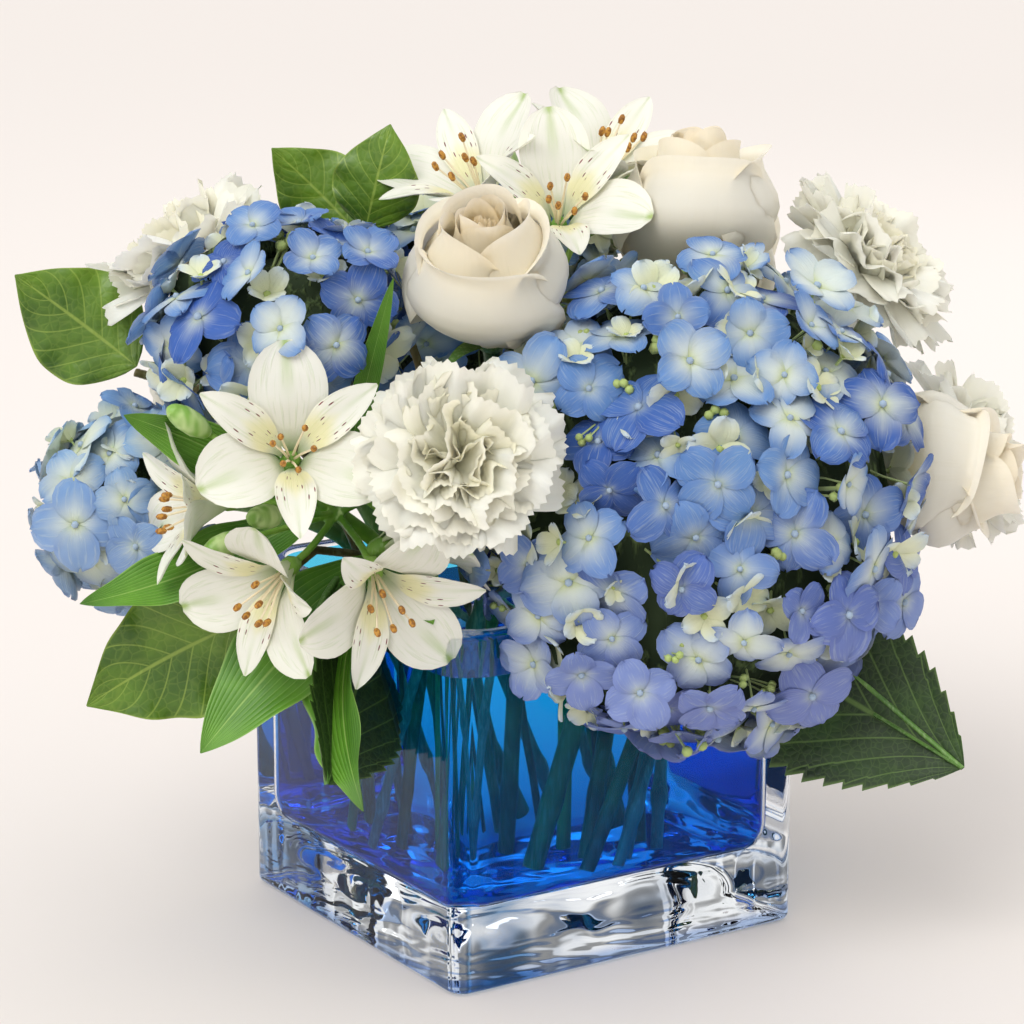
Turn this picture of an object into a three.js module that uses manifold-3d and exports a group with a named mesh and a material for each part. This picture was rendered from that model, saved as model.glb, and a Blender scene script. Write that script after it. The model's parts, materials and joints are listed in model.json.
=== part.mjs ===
// A posy of hydrangeas, roses, carnations and alstroemeria in a square glass vase.
// Millimetres, +Z up. The origin is the centre of the vase's underside, and X and Y run along its sides.
// The flowers are placed in a posy frame, turned about Z: its -Y is the posy's face, its +X the face's right.
import * as THREE from "three";
import { mergeVertices } from "three/addons/utils/BufferGeometryUtils.js";
import Module from "manifold-3d";

const wasm = await Module();
wasm.setup();

// ---- Driving dimensions ----
const VASE_SIDE = 130;
const VASE_HEIGHT = 114;
const VASE_WALL = 6.5;
const VASE_FLOOR = 24;
const VASE_CORNER = 6;
const VASE_EDGE = 2;
const CAVITY_CORNER = 11;
const CAVITY_FILLET = 9;
const RIM_TO_WATER = 15;
const FACE_TURN = -32.7; // degrees, from the vase's axes to the posy's

const ROSE_STEM = 2.9; // radii of the stems, shoots and stalks; the hydrangeas' are in their table
const CARNATION_STEM = 2.2;
const ALSTROEMERIA_STEM = 2.7;
const PEDICEL = 1.3;
const BUD_PEDICEL = 1.1;
const TWIG = 1.6;
const SIDE_SHOOT = 1.2;
const PETIOLE = 1.4;

const CLEARANCE = 0.3; // between neighbours that press on each other
const NECK_HEIGHT = VASE_HEIGHT + 6; // the stems fan out above this height
const SHEAF_TWIST = THREE.MathUtils.degToRad(-58); // from the neck down to the vase's floor
const SHEAF_GATHER = 0.8;
const STEM_SIDES = 6;
const STEM_STEPS = 9;

// The planting plan is drawn over a mouth this wide and a rim this high, and spreads and rises with the vase's.
const PLAN_MOUTH = 117;
const PLAN_RIM = 114;

const WATER_LEVEL = VASE_HEIGHT - RIM_TO_WATER;
const CAVITY_SIDE = VASE_SIDE - 2 * VASE_WALL;
const SPREAD = CAVITY_SIDE / PLAN_MOUTH;

const V = (x, y, z) => new THREE.Vector3(x, y, z);
const P = (x, y, z) => V(x * SPREAD, y * SPREAD, z + VASE_HEIGHT - PLAN_RIM); // a point of the plan

// ---- Solids: every shape is cut and joined as a manifold in the posy frame ----
function solidOf(geometry) {
  const bare = geometry.clone();
  bare.deleteAttribute("normal");
  bare.deleteAttribute("uv");
  const merged = mergeVertices(bare, 1e-3);
  return new wasm.Manifold(
    new wasm.Mesh({
      numProp: 3,
      vertProperties: merged.attributes.position.array,
      triVerts: new Uint32Array(merged.index.array),
    }),
  );
}

function geometryOf(solid) {
  const mesh = solid.getMesh();
  return new THREE.BufferGeometry()
    .setAttribute("position", new THREE.BufferAttribute(mesh.vertProperties, 3))
    .setIndex(new THREE.BufferAttribute(mesh.triVerts, 1));
}

// The same shape with every face moved out by a margin: each vertex moves far enough for all its faces.
function grown(geometry, margin) {
  const bare = geometry.clone();
  bare.deleteAttribute("normal");
  bare.deleteAttribute("uv");
  const merged = mergeVertices(bare, 1e-3);
  const { index, attributes } = merged;
  const facing = Array.from({ length: attributes.position.count }, () => []);
  const face = new THREE.Triangle();
  for (let i = 0; i < index.count; i += 3) {
    const corners = [0, 1, 2].map((k) => index.getX(i + k));
    face.setFromAttributeAndIndices(attributes.position, ...corners);
    if (face.getArea() < 1e-6) continue;
    for (const corner of corners) facing[corner].push(face.getNormal(V()));
  }
  let vertex = 0;
  return shaped(merged, (p) => {
    const normals = facing[vertex++];
    const different = normals.filter((n, i) => normals.findIndex((m) => m.dot(n) > 0.999) === i);
    const out = different.reduce((sum, n) => sum.add(n), V()).normalize();
    const least = Math.min(...different.map((n) => n.dot(out)));
    return p.addScaledVector(out, margin / Math.max(least, 0.35));
  });
}

// The largest piece: a cut can leave crumbs.
function largest(solid) {
  return solid.decompose().reduce((a, b) => (b.volume() > a.volume() ? b : a));
}

// Moves each vertex of a geometry as a function of its own place says.
function shaped(geometry, move) {
  const position = geometry.attributes.position;
  for (let i = 0; i < position.count; i++) {
    position.setXYZ(i, ...move(V().fromBufferAttribute(position, i)));
  }
  return geometry;
}

// ---- Vase and water ----
function roundedSquare(side, corner) {
  const half = side / 2;
  const inner = half - corner;
  const shape = new THREE.Shape();
  shape.moveTo(half, -inner);
  shape.absarc(inner, inner, corner, 0, Math.PI / 2);
  shape.absarc(-inner, inner, corner, Math.PI / 2, Math.PI);
  shape.absarc(-inner, -inner, corner, Math.PI, Math.PI * 1.5);
  shape.absarc(inner, -inner, corner, Math.PI * 1.5, Math.PI * 2);
  return shape;
}

// A square prism from z = low to high whose upright corners are rounded and whose end edges have a fillet.
function roundedBlock(side, corner, low, high, fillet, curveSegments, filletSegments) {
  return new THREE.ExtrudeGeometry(roundedSquare(side - 2 * fillet, corner - fillet), {
    depth: high - low - 2 * fillet,
    bevelThickness: fillet,
    bevelSize: fillet,
    bevelSegments: filletSegments,
    curveSegments,
  }).translate(0, 0, low + fillet);
}

function vaseSolid() {
  const outside = roundedBlock(VASE_SIDE, VASE_CORNER, 0, VASE_HEIGHT, VASE_EDGE, 4, 2);
  const above = VASE_HEIGHT + 2 * CAVITY_FILLET;
  const cavity = roundedBlock(CAVITY_SIDE, CAVITY_CORNER, VASE_FLOOR, above, CAVITY_FILLET, 4, 3);
  return solidOf(outside).subtract(solidOf(cavity));
}

function waterSolid() {
  const side = CAVITY_SIDE - 2 * CLEARANCE;
  const above = WATER_LEVEL + 2 * CAVITY_FILLET;
  const low = VASE_FLOOR + CLEARANCE;
  const filled = roundedBlock(side, CAVITY_CORNER, low, above, CAVITY_FILLET, 4, 3);
  const air = new THREE.BoxGeometry(VASE_SIDE, VASE_SIDE, VASE_HEIGHT);
  air.translate(0, 0, WATER_LEVEL + VASE_HEIGHT / 2);
  return solidOf(filled).subtract(solidOf(air));
}

// ---- Flower heads, each along its own +Z with its middle at the origin ----
// A mophead: a dome of florets over a shallow underside.
function hydrangeaHead({ width, height, depth }) {
  const head = new THREE.IcosahedronGeometry(1, 3);
  return shaped(head, (p) => {
    const lumps = 1 + 0.035 * Math.sin(9 * p.x + 2) * Math.sin(8 * p.y) * Math.cos(7 * p.z);
    const under = p.z < 0 ? 0.62 : 1;
    const place = V(p.x * width, p.y * height, p.z * depth * under);
    return place.multiplyScalar(lumps / 2);
  });
}

// Turns a profile of [radius, height] about Z. Ripple gives each vertex its own radius and height.
function turned(profile, segments, ripple) {
  const points = profile.map(([radius, height]) => new THREE.Vector2(radius, height));
  const body = new THREE.LatheGeometry(points, segments).rotateX(Math.PI / 2);
  return shaped(body, (p) => {
    const radius = Math.hypot(p.x, p.y);
    if (radius < 1e-6) return p;
    const angle = Math.atan2(p.y, p.x);
    const [newRadius, newHeight] = ripple(angle, radius, p.z);
    return V(Math.cos(angle) * newRadius, Math.sin(angle) * newRadius, newHeight);
  });
}

const sized = (profile, k) => profile.map(([radius, height]) => [radius * k, height * k]);

// A half-open bud: hip and sepals below, wrapped petals, and the coiled heart sunk in the top.
function roseHead({ size }) {
  const k = size / 56;
  const hip = [[0, -27], [4.5, -27], [6, -22]];
  const petals = [[17, -16], [25, -6], [27, 3], [23, 14], [16, 24]];
  const heart = [[12, 25], [8, 19], [0, 21]];
  return turned(sized([...hip, ...petals, ...heart], k), 15, (angle, radius, height) => {
    const open = THREE.MathUtils.smoothstep(height, -10 * k, 20 * k);
    const lobe = open * Math.cos(3 * angle);
    return [radius * (1 + 0.06 * lobe), height - 1.5 * k * lobe];
  });
}

// Fringed petals spread out of a long green calyx.
function carnationHead({ size }) {
  const k = size / 70;
  const calyx = [[0, -34], [3.5, -34], [6, -27], [7, -14]];
  const petals = [[20, -9], [32, -3], [35, 4], [30, 14], [18, 21], [0, 23]];
  return turned(sized([...calyx, ...petals], k), 18, (angle, radius, height) => {
    const ruffle = THREE.MathUtils.smoothstep(radius, 8 * k, 30 * k);
    const wave = Math.sin(9 * angle) * ruffle;
    return [radius * (1 + 0.04 * wave), height + 2 * k * Math.cos(6 * angle) * ruffle];
  });
}

// Six tepals that flare out of a funnel.
function alstroemeriaHead({ size }) {
  const k = size / 60;
  const outside = [[0, -27], [2.4, -27], [3.4, -21], [8, -11], [17, -3.5], [30, 2]];
  const inside = [[29.5, 4], [15, -0.5], [6, -8], [0, -14]];
  return turned(sized([...outside, ...inside], k), 12, (angle, radius, height) => {
    const flare = THREE.MathUtils.smoothstep(radius, 8 * k, 30 * k);
    const tepal = 0.6 + 0.4 * Math.abs(Math.cos(3 * angle));
    return [radius * THREE.MathUtils.lerp(1, tepal, flare), height];
  });
}

// Puts a head with its middle at a point of the posy, facing along an axis.
function faced(geometry, at, axis) {
  const turn = new THREE.Quaternion().setFromUnitVectors(V(0, 0, 1), axis.clone().normalize());
  return geometry.applyQuaternion(turn).translate(...at);
}

// ---- Stems and leaves ----
function tube(points, radius, steps = STEM_STEPS) {
  const section = new THREE.Shape();
  for (let i = 0; i < STEM_SIDES; i++) {
    const angle = (2 * Math.PI * i) / STEM_SIDES;
    section[i ? "lineTo" : "moveTo"](radius * Math.cos(angle), radius * Math.sin(angle));
  }
  const extrudePath = new THREE.CatmullRomCurve3(points, false, "centripetal");
  return new THREE.ExtrudeGeometry(section, { steps, extrudePath });
}

// The stems stand like a twisted sheaf, so that no two cross: a stem's foot follows from its place at the neck.
function inVase([x, y], radius) {
  const neck = V(x * SPREAD, y * SPREAD, NECK_HEIGHT);
  const foot = V(neck.x, neck.y, 0).applyAxisAngle(V(0, 0, 1), SHEAF_TWIST).multiplyScalar(SHEAF_GATHER);
  const lean = foot.distanceTo(V(neck.x, neck.y, 0)) / (NECK_HEIGHT - VASE_FLOOR);
  foot.z = VASE_FLOOR + CLEARANCE + radius * Math.sin(Math.atan(lean));
  return [foot, foot.clone().lerp(neck, 0.5), neck];
}

// A blade from base to tip. Side points to its left edge, sag bows the midrib down, fold lifts both halves.
function blade({ base, tip, width, side, sag = 0.08, fold = 0.15, widest = 0.4, thick = 1.1 }) {
  const along = tip.clone().sub(base);
  const length = along.length();
  along.normalize();
  const across = side.clone().addScaledVector(along, -side.dot(along)).normalize();
  const out = along.clone().cross(across);
  const flat = new THREE.BoxGeometry(1, 1, thick, 7, 2, 1);
  return shaped(flat, (p) => {
    const t = p.x + 0.5;
    const rise = t < widest ? t / widest : (1 - t) / (1 - widest);
    const half = (width / 2) * (0.06 + 0.94 * Math.sin((Math.PI / 2) * rise) ** (t < widest ? 0.9 : 1.35));
    const bow = 4 * sag * length * t * (1 - t);
    const lift = Math.abs(p.y) * 2 * fold * half;
    const place = base.clone().addScaledVector(along, t * length);
    place.addScaledVector(across, p.y * 2 * half);
    return place.addScaledVector(out, bow + lift + p.z);
  });
}

// ---- The planting plan, in the posy frame ----
const HYDRANGEAS = {
  front: {
    at: P(53, -50, 148), axis: V(0.2, -0.92, 0.22), neck: [26, -22], stem: 3.8,
    width: 148, height: 160, depth: 104,
  },
  left: {
    at: P(-72, -38, 199), axis: V(-0.25, -0.45, 0.85), neck: [-42, -8], stem: 3.2,
    width: 94, height: 78, depth: 68,
  },
  low_left: {
    at: P(-122, -18, 140), axis: V(-0.8, -0.55, 0.15), neck: [-56, 8], stem: 2.8,
    width: 66, height: 66, depth: 66,
  },
  back: {
    at: P(-14, 60, 180), axis: V(-0.1, 0.8, 0.58), neck: [-8, 34], stem: 3.6,
    width: 136, height: 118, depth: 100,
  },
};
const ROSES = {
  front: { at: P(-10, -52, 216), axis: V(-0.05, -0.55, 0.83), size: 57, neck: [-8, -20] },
  top: { at: P(54, -6, 227), axis: V(0.08, 0.05, 0.99), size: 58, neck: [28, 2] },
  right: { at: P(129, -22, 150), axis: V(0.97, -0.22, 0.05), size: 54, neck: [52, -8] },
  back: { at: P(60, 56, 204), axis: V(0.4, 0.5, 0.75), size: 56, neck: [22, 30] },
};
const CARNATIONS = {
  front: { at: P(-19, -92, 169), axis: V(0.08, -0.92, 0.36), size: 70, neck: [-12, -42] },
  left: { at: P(-99, 8, 206), axis: V(-0.6, -0.15, 0.8), size: 72, neck: [-38, 18] },
  right_top: { at: P(104, 8, 206), axis: V(0.7, -0.2, 0.68), size: 74, neck: [44, 14] },
  right_low: { at: P(136, 24, 143), axis: V(0.95, 0.2, 0.1), size: 70, neck: [54, 6] },
  back_left: { at: P(-92, 52, 160), axis: V(-0.62, 0.68, 0.35), size: 68, neck: [-28, 40] },
  back_right: { at: P(96, 76, 144), axis: V(0.52, 0.8, 0.2), size: 68, neck: [37, 32] },
};
const UMBEL = P(-57, -50, 144);
const LOWER_NODE = P(-42, -38, 127); // on the left alstroemeria stem, below its umbel
const ALSTROEMERIAS = {
  left: {
    neck: [-36, -33],
    umbel: UMBEL,
    heads: {
      a: { at: P(-67, -92, 175), axis: V(0.08, -0.88, 0.45), size: 62 },
      b: { at: P(-38, -98, 126), axis: V(0.3, -0.88, -0.35), size: 58 },
      c: { at: P(-80, -90, 126), axis: V(-0.5, -0.8, -0.3), size: 56 },
      d: { at: P(-106, -66, 150), axis: V(-0.92, -0.35, 0.05), size: 50 },
      e: { at: P(-34, -80, 146), axis: V(0.45, -0.8, -0.1), size: 46 },
    },
    buds: [P(-99, -72, 177), P(-76, -82, 150), P(-88, -76, 140)],
  },
  top: {
    neck: [4, 2],
    umbel: P(7, 4, 196),
    heads: {
      f: { at: P(-19, -2, 247), axis: V(-0.4, -0.35, 0.85), size: 62 },
      g: { at: P(13, -26, 240), axis: V(0.05, -0.72, 0.68), size: 58 },
      h: { at: P(30, 14, 252), axis: V(0.3, -0.25, 0.9), size: 60 },
    },
    buds: [P(-4, 30, 240)],
  },
};
const TWIGS = {
  left: {
    neck: [-52, -6],
    via: P(-78, 14, 158),
    leaves: { left: { base: P(-124, 8, 176), tip: P(-160, 4, 209), width: 38, side: V(0.6, 0.1, 0.8) } },
  },
  low_left: {
    neck: [-46, -20],
    via: P(-66, -34, 127),
    leaves: { low_left: { base: P(-86, -54, 108), tip: P(-134, -62, 86), width: 42, side: V(-0.3, -0.1, 1) } },
  },
  top: {
    neck: [-20, 2],
    via: P(-36, 10, 190),
    leaves: {
      top_left: { base: P(-50, 16, 220), tip: P(-80, 20, 246), width: 30, side: V(0.5, 0, 1) },
      top_right: { base: P(-50, 8, 222), tip: P(-40, 4, 256), width: 28, side: V(-1, 0, 0.1) },
    },
  },
  back: {
    neck: [6, 20],
    via: P(10, 26, 180),
    leaves: {
      back_left: { base: P(2, 24, 214), tip: P(-26, 42, 236), width: 32, side: V(0.6, 0.6, 0.2) },
      back_right: { base: P(16, 34, 214), tip: P(34, 60, 238), width: 32, side: V(-0.6, 0.6, 0.2) },
    },
  },
};
const HYDRANGEA_LEAVES = {
  right: {
    root: P(28, -24, 121), over: P(60, -30, 123), base: P(86, -34, 104), tip: P(137, -62, 65), width: 50,
    side: V(0.6, 0, 0.8),
  },
  front: {
    root: P(-43, -12, 121), over: P(-57, -45, 121), base: P(-63, -66, 112), tip: P(-58, -96, 71), width: 30,
    side: V(-1, 0, 0),
  },
  back: {
    root: P(-9, 37, 121), over: P(-22, 62, 121), base: P(-34, 76, 112), tip: P(-72, 112, 82), width: 44,
    side: V(-0.7, -0.7, 0),
  },
};
const STRAP_LEAVES = {
  a: { base: UMBEL, tip: P(-37, -80, 222), width: 8, side: V(1, 0, 0), sag: 0.03 },
  b: { base: UMBEL, tip: P(-119, -70, 178), width: 15, side: V(0, 0.2, 1), sag: 0.08 },
  c: { base: UMBEL, tip: P(-133, -76, 122), width: 14, side: V(0.3, 0, 1), sag: 0.1 },
  d: { base: LOWER_NODE, tip: P(-98, -74, 74), width: 14, side: V(0.7, 0, 0.7), sag: 0.16 },
  e: { base: LOWER_NODE, tip: P(-46, -106, 66), width: 18, side: V(1, 0.1, 0), sag: 0.18 },
  f: { base: LOWER_NODE, tip: P(-9, -114, 88), width: 16, side: V(0.7, 0.3, 0.5), sag: 0.18 },
};

// ---- Pieces, each {name, geometry, colour, roughness}, hardest first ----
const COLOURS = {
  glass: "#bcd9f2",
  water: "#1f6fd0",
  stem: "#4f8a3c",
  twig: "#6d6a3c",
  hydrangea: "#7d9fe0",
  rose: "#f4ecd8",
  carnation: "#f7f7f0",
  alstroemeria: "#ffffff",
  leaf: "#3f7a22",
  dark_leaf: "#24451c",
  strap_leaf: "#5a9a2a",
};
const hard = [];
const soft = [];

function headPieces(kind, table, make, length, list) {
  for (const [name, plan] of Object.entries(table)) {
    const geometry = faced(make(plan), plan.at, plan.axis);
    list.push({ name: `${kind}_${name}`, colour: kind, geometry, length });
  }
}

// Where a stem meets the underside of its head.
function seat({ at, axis }, drop) {
  return at.clone().addScaledVector(axis.clone().normalize(), -drop);
}

function stemPiece(name, plan, drop, radius) {
  const end = seat(plan, drop - 0.6);
  const before = seat(plan, drop + 16);
  const geometry = tube([...inVase(plan.neck, radius), before, end], radius);
  return { name, colour: "stem", geometry };
}

function plantStems() {
  for (const [name, plan] of Object.entries(HYDRANGEAS)) {
    hard.push(stemPiece(`hydrangea_stem_${name}`, plan, plan.depth * 0.31, plan.stem));
  }
  for (const [name, plan] of Object.entries(ROSES)) {
    hard.push(stemPiece(`rose_stem_${name}`, plan, 27 * (plan.size / 56), ROSE_STEM));
  }
  for (const [name, plan] of Object.entries(CARNATIONS)) {
    hard.push(stemPiece(`carnation_stem_${name}`, plan, 34 * (plan.size / 70), CARNATION_STEM));
  }
  for (const [name, cluster] of Object.entries(ALSTROEMERIAS)) {
    hard.push({ name: `alstroemeria_stem_${name}`, colour: "stem", geometry: umbelStem(cluster) });
  }
  for (const [name, plan] of Object.entries(TWIGS)) {
    hard.push({ name: `lemon_leaf_twig_${name}`, colour: "twig", geometry: twigGeometry(plan) });
  }
}

// A main stem that ends in an umbel of thin pedicels, one to each head and each bud.
function umbelStem({ neck, umbel, heads, buds }) {
  const radius = ALSTROEMERIA_STEM;
  let solid = solidOf(tube([...inVase(neck, radius), umbel], radius));
  const low = umbel.clone().addScaledVector(V(neck[0] * SPREAD, neck[1] * SPREAD, NECK_HEIGHT).sub(umbel).normalize(), 1.5);
  for (const plan of Object.values(heads)) {
    const end = seat(plan, 27 * (plan.size / 60) - 0.6);
    const before = seat(plan, 27 * (plan.size / 60) + 7);
    solid = solid.add(solidOf(tube([low, low.clone().lerp(before, 0.6), before, end], PEDICEL, 5)));
  }
  for (const at of buds) {
    const out = at.clone().sub(umbel).normalize();
    const bud = shaped(new THREE.IcosahedronGeometry(4, 1), (p) => V(p.x, p.y, p.z * 2.2));
    solid = solid.add(solidOf(faced(bud, at, out)));
    solid = solid.add(solidOf(tube([low, at.clone().addScaledVector(out, -7)], BUD_PEDICEL, 3)));
  }
  return geometryOf(solid);
}

// A woody twig up to the base of its first leaf, with a side shoot to each other one.
function twigGeometry({ neck, via, leaves }) {
  const radius = TWIG;
  const [first, ...others] = Object.values(leaves);
  let solid = solidOf(tube([...inVase(neck, radius), via, first.base], radius));
  for (const leaf of others) {
    solid = solid.add(solidOf(tube([via, via.clone().lerp(leaf.base, 0.5), leaf.base], SIDE_SHOOT, 4)));
  }
  return geometryOf(solid);
}

function plantLeaves() {
  for (const plan of Object.values(TWIGS)) {
    for (const [name, leaf] of Object.entries(plan.leaves)) {
      hard.push({ name: `lemon_leaf_${name}`, colour: "leaf", geometry: blade(leaf) });
    }
  }
  for (const [name, leaf] of Object.entries(HYDRANGEA_LEAVES)) {
    const inward = leaf.base.clone().lerp(leaf.tip, 0.08);
    const petiole = solidOf(tube([leaf.root, leaf.over, leaf.base, inward], PETIOLE, 7));
    const geometry = geometryOf(petiole.add(solidOf(blade(leaf))));
    hard.push({ name: `hydrangea_leaf_${name}`, colour: "dark_leaf", geometry });
  }
  for (const [name, leaf] of Object.entries(STRAP_LEAVES)) {
    const geometry = blade({ ...leaf, fold: 0.1, widest: 0.5, thick: 0.9 });
    hard.push({ name: `alstroemeria_leaf_${name}`, colour: "strap_leaf", geometry });
  }
}

function plantHeads() {
  headPieces("rose", ROSES, roseHead, 27, hard);
  for (const cluster of Object.values(ALSTROEMERIAS)) {
    headPieces("alstroemeria", cluster.heads, alstroemeriaHead, 27, hard);
  }
  headPieces("carnation", CARNATIONS, carnationHead, 34, soft);
  headPieces("hydrangea", HYDRANGEAS, hydrangeaHead, 40, soft);
}

// ---- Assembly ----
const posy = new THREE.Group();
posy.rotation.z = THREE.MathUtils.degToRad(FACE_TURN);

// The vase's outer block, which no head or leaf may enter, in the posy frame.
function vaseKeepOut() {
  const block = new THREE.BoxGeometry(VASE_SIDE + 2 * CLEARANCE, VASE_SIDE + 2 * CLEARANCE, VASE_HEIGHT + CLEARANCE);
  return solidOf(block.translate(0, 0, (VASE_HEIGHT + CLEARANCE) / 2).rotateZ(THREE.MathUtils.degToRad(-FACE_TURN)));
}

function meshOf({ name, colour }, geometry, roughness = 0.6) {
  const material = new THREE.MeshStandardMaterial({ color: COLOURS[colour], roughness, metalness: 0 });
  const mesh = new THREE.Mesh(geometry, material);
  mesh.name = name;
  return mesh;
}

const whole = new THREE.Group();
plantStems();
const stemCount = hard.length;
plantHeads();
plantLeaves();
const keepOut = vaseKeepOut();

// Each piece gives way to all the harder ones before it; the stems are laid out clear of one another.
const taken = [];
[...hard, ...soft].forEach((piece, order) => {
  let solid = solidOf(piece.geometry);
  if (order >= stemCount) {
    solid = solid.subtract(keepOut);
    for (const cutter of taken) solid = solid.subtract(cutter);
    solid = largest(solid);
  }
  taken.push(solidOf(grown(piece.geometry, CLEARANCE)), solidOf(piece.geometry));
  posy.add(meshOf(piece, geometryOf(solid)));
});

const vase = meshOf({ name: "vase", colour: "glass" }, geometryOf(vaseSolid()), 0.05);
let water = waterSolid();
for (const cutter of taken.slice(0, 2 * stemCount)) water = water.subtract(cutter.rotate([0, 0, FACE_TURN]));
whole.add(vase, meshOf({ name: "water", colour: "water" }, geometryOf(largest(water)), 0.02), posy);

export default whole;
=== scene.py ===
# %% [markdown]
# # A posy of hydrangeas in a blue glass vase
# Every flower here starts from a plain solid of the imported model, which says where its head is, how big it
# is and which way it looks. The cells below measure those solids and grow petals, leaves and glass in their
# place. Lengths are in metres, and a number times MM is in millimetres.

import json
import math

import bmesh
import bpy
import numpy as np
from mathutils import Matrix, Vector
from mathutils.bvhtree import BVHTree

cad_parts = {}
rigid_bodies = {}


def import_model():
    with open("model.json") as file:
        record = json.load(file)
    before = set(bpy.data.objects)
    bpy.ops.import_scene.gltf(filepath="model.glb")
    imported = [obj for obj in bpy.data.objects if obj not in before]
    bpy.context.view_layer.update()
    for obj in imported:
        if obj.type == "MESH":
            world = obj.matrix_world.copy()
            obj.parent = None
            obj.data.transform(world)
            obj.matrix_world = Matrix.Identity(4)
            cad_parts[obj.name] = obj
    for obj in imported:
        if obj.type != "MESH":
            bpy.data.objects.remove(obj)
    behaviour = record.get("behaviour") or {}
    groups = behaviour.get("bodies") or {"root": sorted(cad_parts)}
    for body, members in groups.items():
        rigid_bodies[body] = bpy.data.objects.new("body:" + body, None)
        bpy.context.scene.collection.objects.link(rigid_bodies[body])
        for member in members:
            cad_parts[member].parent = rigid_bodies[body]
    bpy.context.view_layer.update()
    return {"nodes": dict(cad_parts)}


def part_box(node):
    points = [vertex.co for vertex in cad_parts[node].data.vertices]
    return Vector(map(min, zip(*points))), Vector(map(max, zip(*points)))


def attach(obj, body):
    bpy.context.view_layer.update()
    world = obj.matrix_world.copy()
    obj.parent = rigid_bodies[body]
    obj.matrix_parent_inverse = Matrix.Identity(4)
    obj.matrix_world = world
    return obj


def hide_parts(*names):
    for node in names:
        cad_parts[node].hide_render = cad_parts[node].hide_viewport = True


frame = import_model()
MM = 0.001
UP = np.array([0.0, 0.0, 1.0])
NODES = sorted(frame["nodes"])

# %% [markdown]
# ## Camera, light and floor
# The vase stands cornerwise to the viewer, so the view direction is a turn from the vase's own axes. A long
# lens from about a metre keeps the perspective gentle. A wide soft sun from the upper left models the petals
# and lights the whole table evenly, two area lights add a glint and an edge, and a pale sky keeps the shadows
# light.

# %% Camera
FACE_TURN = math.radians(-32.7)
VIEW_DISTANCE = 1.0963
VIEW_PITCH = math.radians(13.62)
AIM = np.array([-0.0025, 0.0, 0.1316])  # in the posy's frame: to its right, away from the viewer, up
LENS_MM = 119.5


def posy(right, away, up):
    """A point of the posy's frame, in the vase's."""
    c, s = math.cos(FACE_TURN), math.sin(FACE_TURN)
    return np.array([c * right - s * away, s * right + c * away, up])


camera_data = bpy.data.cameras.new("camera")
camera_data.lens = LENS_MM
camera = bpy.data.objects.new("camera", camera_data)
bpy.context.collection.objects.link(camera)
back_off = VIEW_DISTANCE * np.array([0, -math.cos(VIEW_PITCH), math.sin(VIEW_PITCH)])
camera.location = posy(*(AIM + back_off))
camera.rotation_euler = (math.pi / 2 - VIEW_PITCH, 0, FACE_TURN)
bpy.context.scene.camera = camera
print("camera at", [round(x, 3) for x in camera.location])


# %% Lights
def softbox(name, place, size, power, colour):
    """A square area light at a point of the posy's frame, aimed at the flowers."""
    light = bpy.data.lights.new(name, "AREA")
    light.size = size
    light.energy = power
    light.color = colour
    lamp = bpy.data.objects.new(name, light)
    bpy.context.collection.objects.link(lamp)
    lamp.location = posy(*place)
    toward = Vector(posy(*AIM)) - lamp.location
    lamp.rotation_euler = toward.to_track_quat("-Z", "Y").to_euler()


SUN_POWER = 1.32
SUN_WIDTH = math.radians(38)  # a wide sun throws a soft shadow
SUN_WAY = (0.45, 0.8, -0.85)  # in the posy's frame: from the upper left, in front

softbox("glint", (-0.9, -0.8, 1.3), 0.5, 2.5, (1.0, 0.99, 0.97))
softbox("edge", (0.7, 1.2, 1.1), 0.8, 2.5, (1.0, 1.0, 1.0))
sun_data = bpy.data.lights.new("soft_sun", "SUN")
sun_data.energy = SUN_POWER
sun_data.angle = SUN_WIDTH
sun_data.color = (1.0, 0.985, 0.96)
sun = bpy.data.objects.new("soft_sun", sun_data)
bpy.context.collection.objects.link(sun)
sun.rotation_euler = Vector(posy(*SUN_WAY)).to_track_quat("-Z", "Y").to_euler()
world = bpy.data.worlds.new("studio")
world.use_nodes = True
bpy.context.scene.world = world
bpy.context.scene.view_settings.view_transform = "Standard"

# %% [markdown]
# ## Writing materials as sums
# A material is a small graph of nodes. Here a socket is wrapped in a class that knows the arithmetic
# operators, so a pattern reads as a formula: `1 - edge * 0.5` adds its Math nodes. Any other node is made by
# one method that takes its type, its settings and the values or links of its sockets. The same class builds
# the Geometry Nodes trees further down.


# %% Sockets that add, multiply and compare
class Wire:
    """A node's output, which Python's operators can work on."""

    def __init__(self, tree, socket):
        self.tree = tree
        self.socket = socket

    def other(self, name):
        """Another output of the same node."""
        return Wire(self.tree, self.socket.node.outputs[name])

    def math(self, operation, *values):
        return self.tree.node("ShaderNodeMath", {"operation": operation}, *values)

    def larger(self, value):
        return self.math("MAXIMUM", self, value)

    def __add__(self, value):
        return self.math("ADD", self, value)

    def __sub__(self, value):
        return self.math("SUBTRACT", self, value)

    def __rsub__(self, value):
        return self.math("SUBTRACT", value, self)

    def __mul__(self, value):
        return self.math("MULTIPLY", self, value)

    def __truediv__(self, value):
        return self.math("DIVIDE", self, value)

    def __pow__(self, value):
        return self.math("POWER", self, value)

    def __abs__(self):
        return self.math("ABSOLUTE", self)

    __radd__ = __add__
    __rmul__ = __mul__


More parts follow.
